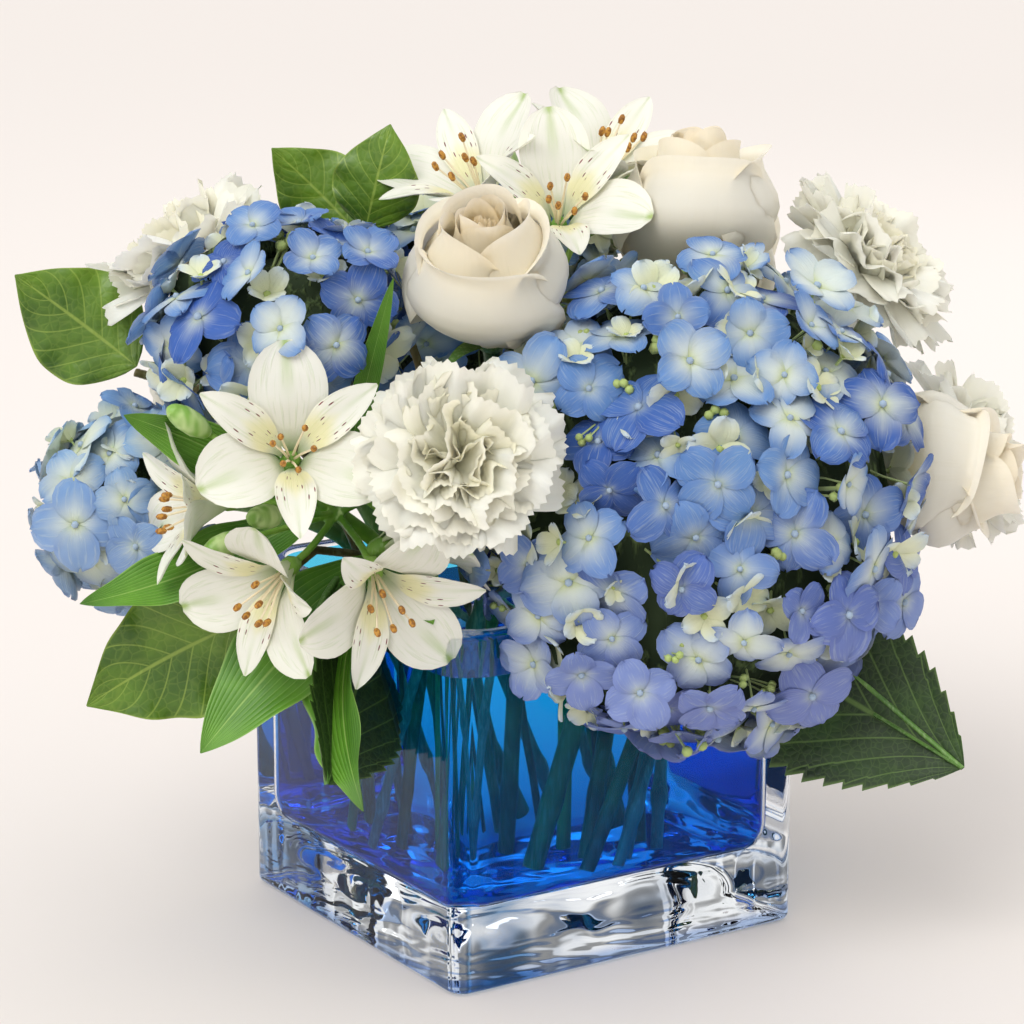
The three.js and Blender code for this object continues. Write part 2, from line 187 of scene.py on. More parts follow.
class Tree:
    """A node tree, of a material or of a Geometry Nodes group."""

    def __init__(self, tree):
        self.tree = tree

    def node(self, kind, settings=None, *values, out=0, named=None):
        """Adds a node. Values fill its inputs in order, named ones by name, and None leaves one alone."""
        node = self.tree.nodes.new(kind)
        for key, value in (settings or {}).items():
            setattr(node, key, value)
        for key, value in [*enumerate(values), *(named or {}).items()]:
            if isinstance(value, Wire):
                self.tree.links.new(node.inputs[key], value.socket)
            elif value is not None:
                node.inputs[key].default_value = value
        return Wire(self, node.outputs[out])

    def step(self, value, low, high):
        """0 below low, 1 above high, smooth between them."""
        how = {"interpolation_type": "SMOOTHSTEP"}
        return self.node("ShaderNodeMapRange", how, value, low, high)

    def mix(self, factor, first, second):
        """The first colour where the factor is 0 and the second where it is 1."""
        colours = {6: colour(first), 7: colour(second)}
        return self.node("ShaderNodeMix", {"data_type": "RGBA"}, factor, named=colours, out=2)


def colour(value):
    """A hex string such as "f0e8d8" as the linear colour that shaders use; anything else is passed on."""
    if not isinstance(value, str):
        return value
    parts = [int(value[i : i + 2], 16) / 255 for i in (0, 2, 4)]
    return (*[p / 12.92 if p <= 0.04045 else ((p + 0.055) / 1.055) ** 2.4 for p in parts], 1.0)


# %% Materials with a Principled shader and patterns on the piece's own UV map or Object coordinates
class Finish(Tree):
    """A material: constants go straight to the shader's sockets, and patterns are linked to them by name."""

    def __init__(self, name, **constants):
        self.material = bpy.data.materials.new(name)
        self.material.use_nodes = True
        super().__init__(self.material.node_tree)
        self.shader = self.tree.nodes["Principled BSDF"]
        for key, value in constants.items():
            self.shader.inputs[key.replace("_", " ")].default_value = colour(value)
        self.object = self.node("ShaderNodeTexCoord", out="Object")

    def feed(self, name, wire):
        self.tree.links.new(self.shader.inputs[name], wire.socket)

    def map(self):
        """Across and along a petal or a leaf, each from 0 to 1."""
        across = self.node("ShaderNodeSeparateXYZ", None, self.node("ShaderNodeUVMap", {"uv_map": "map"}))
        return across, across.other("Y")

    def attribute(self, name):
        return self.node("ShaderNodeAttribute", {"attribute_name": name}, out="Fac")

    def noise(self, scale, detail=3.0, at=None):
        values = {"Vector": at or self.object, "Scale": scale, "Detail": detail}
        return self.node("ShaderNodeTexNoise", None, named=values)

    def stretched(self, along):
        """Object coordinates that change slower with height, so that a pattern on them is drawn out."""
        return self.node("ShaderNodeMapping", None, self.object, named={"Scale": (1, 1, along)})

    def height(self):
        return self.node("ShaderNodeSeparateXYZ", None, self.object, out="Z")

    def bump(self, height, distance_mm, strength=1.0):
        values = {"Height": height, "Distance": distance_mm * MM, "Strength": strength}
        self.feed("Normal", self.node("ShaderNodeBump", None, named=values))

    def pass_light(self, tint):
        """Lets lamps shine through a glass, with a tint, instead of casting a solid shadow."""
        through = self.node("ShaderNodeBsdfTransparent", None, colour(tint))
        path = self.node("ShaderNodeLightPath", out="Is Shadow Ray")
        both = self.node("ShaderNodeMixShader", None, path, Wire(self, self.shader.outputs[0]), through)
        self.tree.links.new(self.tree.nodes["Material Output"].inputs["Surface"], both.socket)


# %% Sky
# Clear glass only shows what is round it, so the sky has soft darker patches low down, as a studio's walls
# would.
SKY_POWER = 0.95
WALL_SHADE = 0.65
WALL_TOP = (0.2, 0.5)  # where the patches fade out, as the sine of the climb

sky = Tree(world.node_tree)
direction = sky.node("ShaderNodeTexCoord", out="Generated")
walls = sky.node("ShaderNodeMapping", None, direction, named={"Scale": (1, 1, 0.25)})
blotches = sky.node("ShaderNodeTexNoise", None, named={"Vector": walls, "Scale": 2.6, "Detail": 1.0})
climb = sky.node("ShaderNodeSeparateXYZ", None, direction, out="Z")
strength = SKY_POWER - sky.step(blotches, 0.45, 0.56) * (1 - sky.step(climb, *WALL_TOP)) * WALL_SHADE
background = world.node_tree.nodes["Background"]
background.inputs["Color"].default_value = (1.0, 0.985, 0.97, 1)
world.node_tree.links.new(background.inputs["Strength"], strength.socket)

# %% Floor
FLOOR_SIZE = 12.0
FLOOR_DROP = -0.4 * MM  # the thin film of air under the glass, without which its underside wouldn't mirror

floor_mesh = bpy.data.meshes.new("floor")
half = FLOOR_SIZE / 2
corners = [(x * half, y * half, FLOOR_DROP) for x, y in ((-1, -1), (1, -1), (1, 1), (-1, 1))]
floor_mesh.from_pydata(corners, [], [(0, 1, 2, 3)])
floor = bpy.data.objects.new("floor", floor_mesh)
bpy.context.collection.objects.link(floor)
floor_finish = Finish("pale_floor", Base_Color="e6e0dc", Roughness=0.75, Specular_IOR_Level=0.15)
floor_mesh.materials.append(floor_finish.material)

# %% [markdown]
# ## Measuring the solids
# A stem ends in a small flat hexagon under its flower, and the hexagon's normal is the way that the flower
# looks. The flower's size is then how far its solid reaches sideways from that axis. Reading these from the
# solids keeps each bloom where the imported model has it, whatever size the model is.


# %% Points, stem ends and flower axes
def points_of(name):
    """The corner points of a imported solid, each once."""
    corners = np.array([v.co for v in frame["nodes"][name].data.vertices])
    return np.unique(np.round(corners, 6), axis=0)


def unit(vector):
    return vector / np.linalg.norm(vector)


STEM_SIDES = 6  # a packed stem's section is a hexagon


class Bloom:
    """Where a flower sits: its seat on the stem, its axis, two ways across it, its radius and height."""

    def __init__(self, head, stem):
        points = points_of(head)
        middle = points.mean(axis=0)
        stem_points = points_of(stem)
        ring = stem_points[np.argsort(np.linalg.norm(stem_points - middle, axis=1))[:STEM_SIDES]]
        self.seat = ring.mean(axis=0)
        axis = np.linalg.svd(ring - self.seat)[2][2]
        self.axis = axis if axis @ (middle - self.seat) > 0 else -axis
        self.across = unit(np.cross(UP, self.axis)) if abs(self.axis[2]) < 0.97 else posy(1, 0, 0)
        self.over = np.cross(self.axis, self.across)
        reach = points - self.seat
        up = reach @ self.axis
        self.height = up.max()
        self.radius = np.linalg.norm(reach - up[:, None] * self.axis, axis=1).max()

    def place(self, local):
        """Points given across, over and along the axis from the seat, in the model's frame."""
        return self.seat + local @ np.array([self.across, self.over, self.axis])

    def place_grid(self, grid):
        return self.place(grid.reshape(-1, 3)).reshape(grid.shape)


def nodes_like(start, *without):
    return [n for n in NODES if n.startswith(start) and not any(word in n for word in without)]


# %% [markdown]
# ## Thin blades
# Petals and leaves are the same kind of surface: a grid of points, wider than it is thick. Two copies of the
# grid share their edge, and the lower one sinks by the petal's thickness inside it, so each blade is a closed
# lens with a crisp rim. A UV map runs across and along every blade, for veins and streaks, and one number per
# blade, its tone, lets neighbours differ in colour.


# %% Grids of points, gathered into one mesh
PETAL_SHARP = math.radians(70)


class Blades:
    """Closed thin blades and tubes that become one piece."""

    def __init__(self):
        self.points, self.faces, self.uv, self.tone, self.kind = [], [], [], [], []
        self.count = 0

    def add(self, points, faces, uv, tone, kind):
        self.points.append(points)
        self.faces += [[i + self.count for i in face] for face in faces]
        self.uv.append(uv)
        self.tone.append(np.full(len(points), tone))
        self.kind += [kind] * len(faces)
        self.count += len(points)

    def blade(self, grid, thick, tone=0.5, kind=0):
        """A grid of rows along the blade by columns across it, with its front to +(across x along)."""
        rows, columns = grid.shape[:2]
        along = np.gradient(grid, axis=0)
        normal = np.cross(np.gradient(grid, axis=1), along)
        normal /= np.maximum(np.linalg.norm(normal, axis=2, keepdims=True), 1e-12)
        across, up = np.meshgrid(np.linspace(0, 1, columns), np.linspace(0, 1, rows))
        uv = np.stack([across, up], axis=2)
        under = (grid - normal * thick)[1:-1, 1:-1]
        index = np.arange(rows * columns).reshape(rows, columns)
        below = index.copy()
        new = rows * columns + np.arange((rows - 2) * (columns - 2))
        below[1:-1, 1:-1] = new.reshape(rows - 2, columns - 2)
        faces = []
        for i in range(rows - 1):
            for j in range(columns - 1):
                faces.append([index[i, j], index[i, j + 1], index[i + 1, j + 1], index[i + 1, j]])
                faces.append([below[i, j], below[i + 1, j], below[i + 1, j + 1], below[i, j + 1]])
        points = np.concatenate([grid.reshape(-1, 3), under.reshape(-1, 3)])
        maps = np.concatenate([uv.reshape(-1, 2), uv[1:-1, 1:-1].reshape(-1, 2)])
        self.add(points, faces, maps, tone, kind)

    def lathe(self, profile, sides, place, tone=0.5, kind=0, squash=None):
        """A closed body turned from (radius, height) pairs whose first and last radius are 0."""
        angles = np.arange(sides) * 2 * math.pi / sides
        inner = np.array(profile[1:-1])
        radius, height = inner[:, :1], inner[:, 1:]
        wave = squash(angles)[None] if squash else 1.0
        radius = radius * wave
        ring = np.stack([radius * np.cos(angles), radius * np.sin(angles), height + 0 * angles], 2)
        count = len(inner) * sides
        points = np.concatenate([ring.reshape(-1, 3), [[0, 0, profile[0][1]], [0, 0, profile[-1][1]]]])
        steps = np.linspace(0, 1, len(inner))
        turn, climb = np.meshgrid(angles / (2 * math.pi), steps)
        maps = np.concatenate([np.stack([turn, climb], 2).reshape(-1, 2), [[0, 0], [0, 1]]])
        faces = []
        for j in range(sides):
            k = (j + 1) % sides
            faces.append([count, k, j])
            faces.append([count + 1, count - sides + j, count - sides + k])
            for i in range(len(inner) - 1):
                faces.append([i * sides + j, i * sides + k, (i + 1) * sides + k, (i + 1) * sides + j])
        self.add(place(points), faces, maps, tone, kind)

    def tube(self, path, radii, sides, place, tone=0.5, kind=0):
        """A round bar along a path of points, with a radius at each, closed at both ends."""
        path = np.asarray(path, float)
        radii = np.broadcast_to(radii, len(path))
        tangent = np.gradient(path, axis=0)
        tangent /= np.linalg.norm(tangent, axis=1, keepdims=True)
        side = np.cross(tangent[0], UP if abs(tangent[0][2]) < 0.9 else [1.0, 0, 0])
        rings = []
        angles = np.arange(sides) * 2 * math.pi / sides
        c, s = np.cos(angles)[:, None], np.sin(angles)[:, None]
        for point, way, radius in zip(path, tangent, radii):
            side = unit(side - way * (side @ way))
            rings.append(point + radius * (c * side + s * np.cross(way, side)))
        points = np.concatenate([*rings, [path[0], path[-1]]])
        last = len(path) * sides
        faces = []
        for j in range(sides):
            k = (j + 1) % sides
            faces.append([last, k, j])
            faces.append([last + 1, last - sides + j, last - sides + k])
            for i in range(len(path) - 1):
                faces.append([i * sides + j, i * sides + k, (i + 1) * sides + k, (i + 1) * sides + j])
        climb = np.repeat(np.linspace(0, 1, len(path)), sides)
        turn = np.tile(angles / (2 * math.pi), len(path))
        maps = np.concatenate([np.stack([turn, climb], 1), [[0, 0], [0, 1]]])
        self.add(place(points), faces, maps, tone, kind)

    def mesh(self, name, materials):
        """The finished mesh, smooth, with crisp rims."""
        mesh = bpy.data.meshes.new(name)
        mesh.from_pydata(np.concatenate(self.points).tolist(), [], self.faces)
        corner = np.empty(len(mesh.loops), dtype=np.int32)
        mesh.loops.foreach_get("vertex_index", corner)
        uv = mesh.uv_layers.new(name="map")
        uv.data.foreach_set("uv", np.concatenate(self.uv)[corner].astype(np.float32).ravel())
        tone = mesh.attributes.new("tone", "FLOAT", "POINT")
        tone.data.foreach_set("value", np.concatenate(self.tone).astype(np.float32))
        mesh.polygons.foreach_set("material_index", np.array(self.kind, dtype=np.int32))
        mesh.polygons.foreach_set("use_smooth", np.ones(len(mesh.polygons), dtype=bool))
        mesh.set_sharp_from_angle(angle=PETAL_SHARP)
        for material in materials:
            mesh.materials.append(material)
        return mesh


def finished(name, mesh, slot, *nodes):
    """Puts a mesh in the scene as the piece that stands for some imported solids."""
    piece = bpy.data.objects.new(name, mesh)
    bpy.context.collection.objects.link(piece)
    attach(piece, "root")
    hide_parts(*nodes)
    triangles = sum(len(p.vertices) - 2 for p in mesh.polygons)
    print(name, triangles, "triangles")
    return piece


def smoothstep(value, low, high):
    """0 below low, 1 above high, smooth between them."""
    t = np.clip((value - low) / (high - low), 0, 1)
    return t * t * (3 - 2 * t)


def stay(points):
    """The place of a shape that is already in the model's frame."""
    return points


def grid_of(rows, columns):
    """How far along, from 0 to 1, and across, from -1 to 1, each point of a blade is."""
    return np.meshgrid(np.linspace(0, 1, rows), np.linspace(-1, 1, columns), indexing="ij")


def turned(out, across, up, turn):
    """A grid that leaves the axis in one direction, turned about it."""
    c, s = math.cos(turn), math.sin(turn)
    return np.stack([out * c - across * s, out * s + across * c, up], 2)


# %% [markdown]
# ## The vase and its water
# The vase is one thick block of clear glass whose hollow is coloured blue on the inside only, so the heavy
# base stays clear. Its section is a rounded square, which a loop of points follows at every height: up the
# outside, over the rim, and down the hollow. Light bends where two materials meet, and glass against water
# bends it much less than glass against air, so the wet part of the lining has a lower index of refraction
# than the dry part. The water's own sides are then left clear, and only its surface bends the light.

# %% Vase shape
GAP = 0.3 * MM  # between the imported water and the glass
EDGE_ROUND = 2 * MM
RIM_ROUND = 1.2 * MM
CORNER = 6 * MM
HOLLOW_CORNER = 11 * MM
HOLLOW_FILLET = 9 * MM
CORNER_STEPS, EDGE_STEPS, RIM_STEPS, FILLET_STEPS = 10, 4, 3, 6
GLASS_SHARP = math.radians(40)
CLEAR, DRY, WET = range(3)  # the vase's three finishes

vase_low, vase_high = (np.array(c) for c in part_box("vase"))
water_low, water_high = (np.array(c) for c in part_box("water"))
vase_half = (vase_high[0] - vase_low[0]) / 2
hollow_half = (water_high[0] - water_low[0]) / 2 + GAP
hollow_floor = water_low[2] - GAP
rim, waterline = vase_high[2], water_high[2]


def square_loop(half, corner, height):
    """Points round a square with rounded corners."""
    quarter = np.linspace(0, math.pi / 2, CORNER_STEPS + 1)
    loop = []
    for k in range(4):
        angle = quarter + k * math.pi / 2
        centre = (half - corner) * np.array([[1, 1], [-1, 1], [-1, -1], [1, -1]][k])
        loop.append(centre + corner * np.stack([np.cos(angle), np.sin(angle)], 1))
    flat = np.concatenate(loop)
    return np.column_stack([flat, np.full(len(flat), height)])


def quarter_turn(steps):
    """How far along and across a quarter circle its points lie."""
    angle = np.linspace(0, math.pi / 2, steps + 1)
    return list(zip(np.sin(angle), 1 - np.cos(angle)))


def stacked(name, loops, kinds, materials):
    """Joins loops of points with bands of faces and closes both ends; kinds gives each band's material."""
    count = len(loops[0])
    faces, slots = [list(range(count))[::-1]], [kinds[0]]
    for i, kind in enumerate(kinds):
        for j in range(count):
            k = (j + 1) % count
            faces.append([i * count + j, i * count + k, (i + 1) * count + k, (i + 1) * count + j])
            slots.append(kind)
    faces.append([(len(loops) - 1) * count + j for j in range(count)])
    slots.append(kinds[-1])
    mesh = bpy.data.meshes.new(name)
    mesh.from_pydata(np.concatenate(loops).tolist(), [], faces)
    mesh.polygons.foreach_set("material_index", np.array(slots, dtype=np.int32))
    mesh.polygons.foreach_set("use_smooth", np.ones(len(faces), dtype=bool))
    mesh.set_sharp_from_angle(angle=GLASS_SHARP)
    for material in materials:
        mesh.materials.append(material)
    return mesh


def vase_loops():
    loops, kinds = [], []

    def add(half, corner, height, kind):
        if loops:
            kinds.append(kind)
        loops.append(square_loop(half, corner, height))

    for along, across in quarter_turn(EDGE_STEPS):
        inset = EDGE_ROUND * (1 - along)
        add(vase_half - inset, CORNER - inset, EDGE_ROUND * across, CLEAR)
    for along, across in quarter_turn(EDGE_STEPS)[::-1]:
        inset = EDGE_ROUND * (1 - along)
        add(vase_half - inset, CORNER - inset, rim - EDGE_ROUND * across, CLEAR)
    for along, across in quarter_turn(RIM_STEPS):
        inset = RIM_ROUND * (1 - along)
        add(hollow_half + inset, HOLLOW_CORNER + inset, rim - RIM_ROUND * across, CLEAR)
    add(hollow_half, HOLLOW_CORNER, waterline, DRY)
    for along, across in quarter_turn(FILLET_STEPS)[::-1]:
        inset = HOLLOW_FILLET * (1 - along)
        add(hollow_half - inset, HOLLOW_CORNER - inset, hollow_floor + HOLLOW_FILLET * across, WET)
    return loops, kinds


# %% Glass
GLASS_INDEX = 1.48
WATER_INDEX = 1.333


def lining(name, index):
    """Blue glass, lighter at the rim and deeper towards the floor, a little uneven."""
    finish = Finish(name, Roughness=0.0, IOR=index, Transmission_Weight=0.93)
    uneven = finish.noise(22, 2) * 0.3 - 0.15
    depth = finish.step(finish.height() / rim + uneven, 0.2, 0.95)
    finish.feed("Base Color", finish.mix(depth, "0c74ea", "1cb4fa"))
    finish.pass_light("b4dcff")
    return finish.material


def clear_glass():
    """Clear walls, and a heavy base with swirls; its grey streaks are painted reflection and its grey
    underside is painted shade, and the blue line at its foot is a painted reflection of the lining.
    """
    finish = Finish("clear_glass", Roughness=0.0, IOR=GLASS_INDEX, Transmission_Weight=1.0,
                    Specular_Tint="595959")
    swirl = finish.noise(24, 2, finish.stretched(0.5))
    height = finish.height()
    heavy_base = 1 - finish.step(height, hollow_floor * 0.6, hollow_floor * 1.2)
    finish.bump(swirl * (heavy_base + 0.12), 4.0)
    # painted shade and painted reflection: a grey underside, and grey streaks on the swirls, darken the heavy
    # base
    underside = 1 - finish.step(height, 0.1 * MM, 0.3 * MM)
    foot = (1 - underside) * (1 - finish.step(height, 3 * MM, 7 * MM))
    streaks = finish.step(swirl, 0.42, 0.6) * heavy_base
    painted_grey_reflection_and_shade = finish.mix(streaks.larger(underside * 0.55), "f8fcff", "567399")
    # painted reflection: a blue band at the foot stands in for the blue lining seen through the base
    finish.feed("Base Color", finish.mix(foot * 0.8, painted_grey_reflection_and_shade, "2f74c8"))
    finish.pass_light("f4f8fa")
    return finish.material


vase_finishes = [
    clear_glass(),
    lining("blue_lining_dry", GLASS_INDEX),
    lining("blue_lining_wet", GLASS_INDEX / WATER_INDEX),
]
finished("vase_glass", stacked("vase_glass", *vase_loops(), vase_finishes), "vase_glass", "vase")

# %% Water
WATER_INSET = 0.08 * MM
water_surface = Finish("water_surface", Base_Color="ffffff", Roughness=0.0, IOR=WATER_INDEX,
                       Transmission_Weight=1.0)
water_surface.bump(water_surface.noise(60, 1), 0.2, 0.3)
water_surface.pass_light("ffffff")
water_side = Finish("water_side", Base_Color="ffffff", Alpha=0.0)


def water_loops():
    loops = []
    for along, across in quarter_turn(FILLET_STEPS):
        inset = WATER_INSET + HOLLOW_FILLET * (1 - along)
        height = hollow_floor + WATER_INSET + HOLLOW_FILLET * across
        loops.append(square_loop(hollow_half - inset, HOLLOW_CORNER - inset, height))
    loops.append(square_loop(hollow_half - WATER_INSET, HOLLOW_CORNER - WATER_INSET, waterline))
    return loops


loops = water_loops()
water_mesh = stacked("water", loops, [1] * (len(loops) - 1), [water_surface.material, water_side.material])
water_mesh.polygons[len(water_mesh.polygons) - 1].material_index = 0
finished("water_body", water_mesh, "water", "water")

# %% [markdown]
# ## Stems
# A packed stem is a row of small hexagons, skinned. Their middles give the path, and Geometry Nodes sweep a
# round section along a curve through them. The tree swells the section at the stem's knuckles, from the place
# along the curve, so every kind of stem can use it with its own numbers.


# %% The path of a stem
FEWEST_IN_RING = 5


def rings(name, reach):
    """The middles and mean radii of a solid's rings of points, from its lowest end on."""
    points = points_of(name)
    free = set(range(len(points)))
    found = []
    while free:
        group, edge = set(), {free.pop()}
        while edge:
            group |= edge
            near = [i for i in free if min(np.linalg.norm(points[i] - points[j]) for j in edge) < reach]
            free -= set(near)
            edge = set(near)
        if len(group) >= FEWEST_IN_RING:
            ring = points[list(group)]
            found.append((ring.mean(axis=0), np.linalg.norm(ring - ring.mean(axis=0), axis=1).mean()))
    path = [min(found, key=lambda ring: ring[0][2])]
    found = [ring for ring in found if ring is not path[0]]
    while found:
        nearest = min(found, key=lambda ring: np.linalg.norm(ring[0] - path[-1][0]))
        path.append(nearest)
        found = [ring for ring in found if ring is not nearest]
    return path


def curve_through(paths):
    """One curve object with a smooth spline for each path of (point, radius) pairs."""
    data = bpy.data.curves.new("paths", "CURVE")
    data.dimensions = "3D"
    for path in paths:
        spline = data.splines.new("BEZIER")
        spline.bezier_points.add(len(path) - 1)
        for knot, (point, radius) in zip(spline.bezier_points, path):
            knot.co = point
            knot.radius = radius
            knot.handle_left_type = knot.handle_right_type = "AUTO"
    curve = bpy.data.objects.new("paths", data)
    bpy.context.collection.objects.link(curve)
    return curve


# %% Geometry Nodes: trees with named inputs, and their results as plain meshes
class Group(Tree):
    """A Geometry Nodes group: inputs maps each input's name to its type and default."""

    def __init__(self, name, inputs):
        group = bpy.data.node_groups.new(name, "GeometryNodeTree")
        super().__init__(group)
        group.interface.new_socket("Geometry", in_out="INPUT", socket_type="NodeSocketGeometry")
        group.interface.new_socket("Geometry", in_out="OUTPUT", socket_type="NodeSocketGeometry")
        for key, (kind, default) in inputs.items():
            item = group.interface.new_socket(key, in_out="INPUT", socket_type="NodeSocket" + kind)
            if default is not None:
                item.default_value = default
        self.start = self.node("NodeGroupInput")

    def input(self, name):
        return self.start.other(name)

    def output(self, wire):
        """Ends the tree: gives the geometry the input material and hands it out."""
        painted = self.node("GeometryNodeSetMaterial", None, wire, named={"Material": self.input("Material")})
        self.tree.links.new(self.tree.nodes.new("NodeGroupOutput").inputs[0], painted.socket)

    def run(self, source, values):
        """Grows the tree on an object, returns the result as a mesh and removes the object."""
        modifier = source.modifiers.new("grow", "NODES")
        modifier.node_group = self.tree
        for item in self.tree.interface.items_tree:
            if item.name in values:
                modifier[item.identifier] = values[item.name]
        graph = bpy.context.evaluated_depsgraph_get()
        mesh = bpy.data.meshes.new_from_object(source.evaluated_get(graph), depsgraph=graph)
        bpy.data.objects.remove(source)
        return mesh


# %% The stem tree
KNUCKLE_SHARPNESS = 24


def stem_group():
    group = Group("stem", {
        "Sides": ("Int", 10),
        "Steps": ("Int", 60),
        "Knuckles": ("Float", 3.0),
        "Swelling": ("Float", 0.2),
        "Material": ("Material", None),
    })
    path = group.node("GeometryNodeResampleCurve", None, named={
        "Curve": group.start, "Count": group.input("Steps"),
    })
    phase = group.node("GeometryNodeSplineParameter") * group.input("Knuckles") * math.pi
    swell = (abs(phase.math("SINE", phase)) ** KNUCKLE_SHARPNESS) * group.input("Swelling") + 1
    radius = group.node("GeometryNodeInputRadius") * swell
    sides = group.input("Sides")
    section = group.node("GeometryNodeCurvePrimitiveCircle", None, sides, named={"Radius": 1.0})
    sweep = group.node("GeometryNodeCurveToMesh", None, named={
        "Curve": path, "Profile Curve": section, "Scale": radius, "Fill Caps": True,
    })
    smooth = group.node("GeometryNodeSetShadeSmooth", None, sweep)
    whole = group.node("GeometryNodeRealizeInstances", None, smooth)
    group.output(whole)
    return group


STEM_TREE = stem_group()


# %% Stem finishes
def stem_finish(name, light, dark, bloom):
    """Fresh green bark with fine lengthwise fibres and a waxy bloom."""
    finish = Finish(name, Roughness=0.45, Specular_IOR_Level=0.4)
    fibres = finish.noise(900, 2, finish.stretched(0.12))
    patches = finish.noise(60, 3)
    green = finish.mix(finish.step(patches, 0.35, 0.7), dark, light)
    finish.feed("Base Color", finish.mix(finish.step(fibres, 0.45, 0.8) * bloom, green, "cfe0b0"))
    finish.bump(fibres, 0.12, 0.5)
    return finish.material


SOFT_STEM = stem_finish("hydrangea_stem", "6f9a4a", "47702f", 0.25)
ROSE_STEM = stem_finish("rose_stem", "55803a", "2f5524", 0.2)
GREY_STEM = stem_finish("carnation_stem", "86a883", "5d8462", 0.5)
WOODY = stem_finish("twig_bark", "7a6a3c", "4f4a26", 0.15)

# %% Grow the single stems
RING_REACH = 5 * MM  # points of a hexagon are nearer to each other than this, and hexagons farther apart

for start, material, knuckles, swelling in (
    ("hydrangea_stem", SOFT_STEM, 3, 0.12),
    ("rose_stem", ROSE_STEM, 4, 0.15),
    ("carnation_stem", GREY_STEM, 4, 0.5),
):
    names = nodes_like(start)
    curve = curve_through([rings(name, RING_REACH) for name in names])
    mesh = STEM_TREE.run(curve, {"Knuckles": knuckles + 0.5, "Swelling": swelling, "Material": material})
    finished(start + "s", mesh, "green_stem", *names)

# %% [markdown]
# The alstroemeria's umbels and the lemon leaf's twigs branch, so no single path describes them. Their solids
# are copied, rebuilt from small voxels, which melts the joints together, and smoothed. The umbels carry green
# buds: those are the only places where the solid is thick, so the thickness, measured with a ray through the
# stem at each point, becomes an attribute that the finish reads.


# %% Branched stems
def melted(name, voxel, rounds):
    """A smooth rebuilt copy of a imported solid."""
    source = frame["nodes"][name]
    copy = bpy.data.objects.new("copy", source.data.copy())
    bpy.context.collection.objects.link(copy)
    weld = copy.modifiers.new("weld", "WELD")
    weld.merge_threshold = 1e-5
    rebuild = copy.modifiers.new("rebuild", "REMESH")
    rebuild.mode = "VOXEL"
    rebuild.voxel_size = voxel
    rebuild.use_smooth_shade = True
    relax = copy.modifiers.new("relax", "SMOOTH")
    relax.iterations = rounds
    relax.factor = 0.5
    graph = bpy.context.evaluated_depsgraph_get()
    mesh = bpy.data.meshes.new_from_object(copy.evaluated_get(graph), depsgraph=graph)
    mesh.materials.clear()
    bpy.data.objects.remove(copy)
    return mesh


JUST_INSIDE = 0.1 * MM


def thickness(mesh, most):
    """How far it is through the mesh from each of its points."""
    solid = BVHTree.FromPolygons([v.co for v in mesh.vertices], [p.vertices for p in mesh.polygons])
    found = []
    for vertex in mesh.vertices:
        inward = -vertex.normal
        hit = solid.ray_cast(vertex.co + inward * JUST_INSIDE, inward, most)
        found.append(hit[3] if hit[0] else most)
    return np.array(found)


def bud_finish():
    """Green stems whose thick places are softly striped buds."""
    finish = Finish("alstroemeria_buds", Roughness=0.4)
    thick = finish.attribute("bud")
    streaks = finish.noise(320, 1, finish.stretched(0.3))
    stem = finish.mix(finish.step(finish.noise(60), 0.3, 0.7), "5c8f2c", "93bd50")
    bud = finish.mix(finish.step(streaks, 0.3, 0.7), "c6dc98", "7fae48")
    finish.feed("Base Color", finish.mix(thick, stem, bud))
    finish.bump(streaks, 0.15, 0.5)
    return finish.material


BUDS = bud_finish()
THICKEST_STEM, THINNEST_BUD = 6 * MM, 7 * MM

for name in nodes_like("alstroemeria_stem"):
    mesh = melted(name, 0.62 * MM, 2)
    bud = mesh.attributes.new("bud", "FLOAT", "POINT")
    depth = smoothstep(thickness(mesh, 12 * MM), THICKEST_STEM, THINNEST_BUD)
    bud.data.foreach_set("value", depth.astype(np.float32))
    mesh.materials.append(BUDS)
    finished(name + "_umbel", mesh, "green_stem", name)
for name in nodes_like("lemon_leaf_twig"):
    mesh = melted(name, 0.6 * MM, 2)
    mesh.materials.append(WOODY)
    finished(name + "_bark", mesh, "woody_twig", name)

# %% [markdown]
# ## Leaves
# A packed leaf says where its base, its tip and its middle are, how wide it is and how it bows. The grown
# leaf is a blade on the same midrib with its own outline: oval for lemon leaf, toothed for hydrangea, narrow
# for alstroemeria. The finish draws the veins from the UV map: a midrib, side veins that leave it at an angle
# or, in a strap leaf, run beside it, and a fine net between them, which also raises the surface a little.


# %% Leaf shape
def leaf_pose(name, root):
    """The base, the direction and distance to the tip, the direction across, the front, the width and bow."""
    points = points_of(name)
    base = points[np.argsort(np.linalg.norm(points - root, axis=1))[:3]].mean(axis=0)
    tip = points[np.argmax(np.linalg.norm(points - base, axis=1))]
    length = np.linalg.norm(tip - base)
    along = (tip - base) / length
    reach = points - base
    t = reach @ along
    flat = reach - t[:, None] * along
    across = np.linalg.svd(flat - flat.mean(axis=0))[2][0]
    front = np.cross(across, along)
    outward = base + tip
    if front @ (unit(outward - [0, 0, outward[2]]) + UP) < 0:
        across, front = -across, -front
    width = np.abs(flat @ across).max() * 2
    middle = np.abs(flat @ across) < 0.25 * width
    hump = 4 * (t / length) * (1 - t / length)
    bow = (flat @ front)[middle] @ hump[middle] / (hump[middle] @ hump[middle] + 1e-9)
    return base, along, length, across, front, width, bow


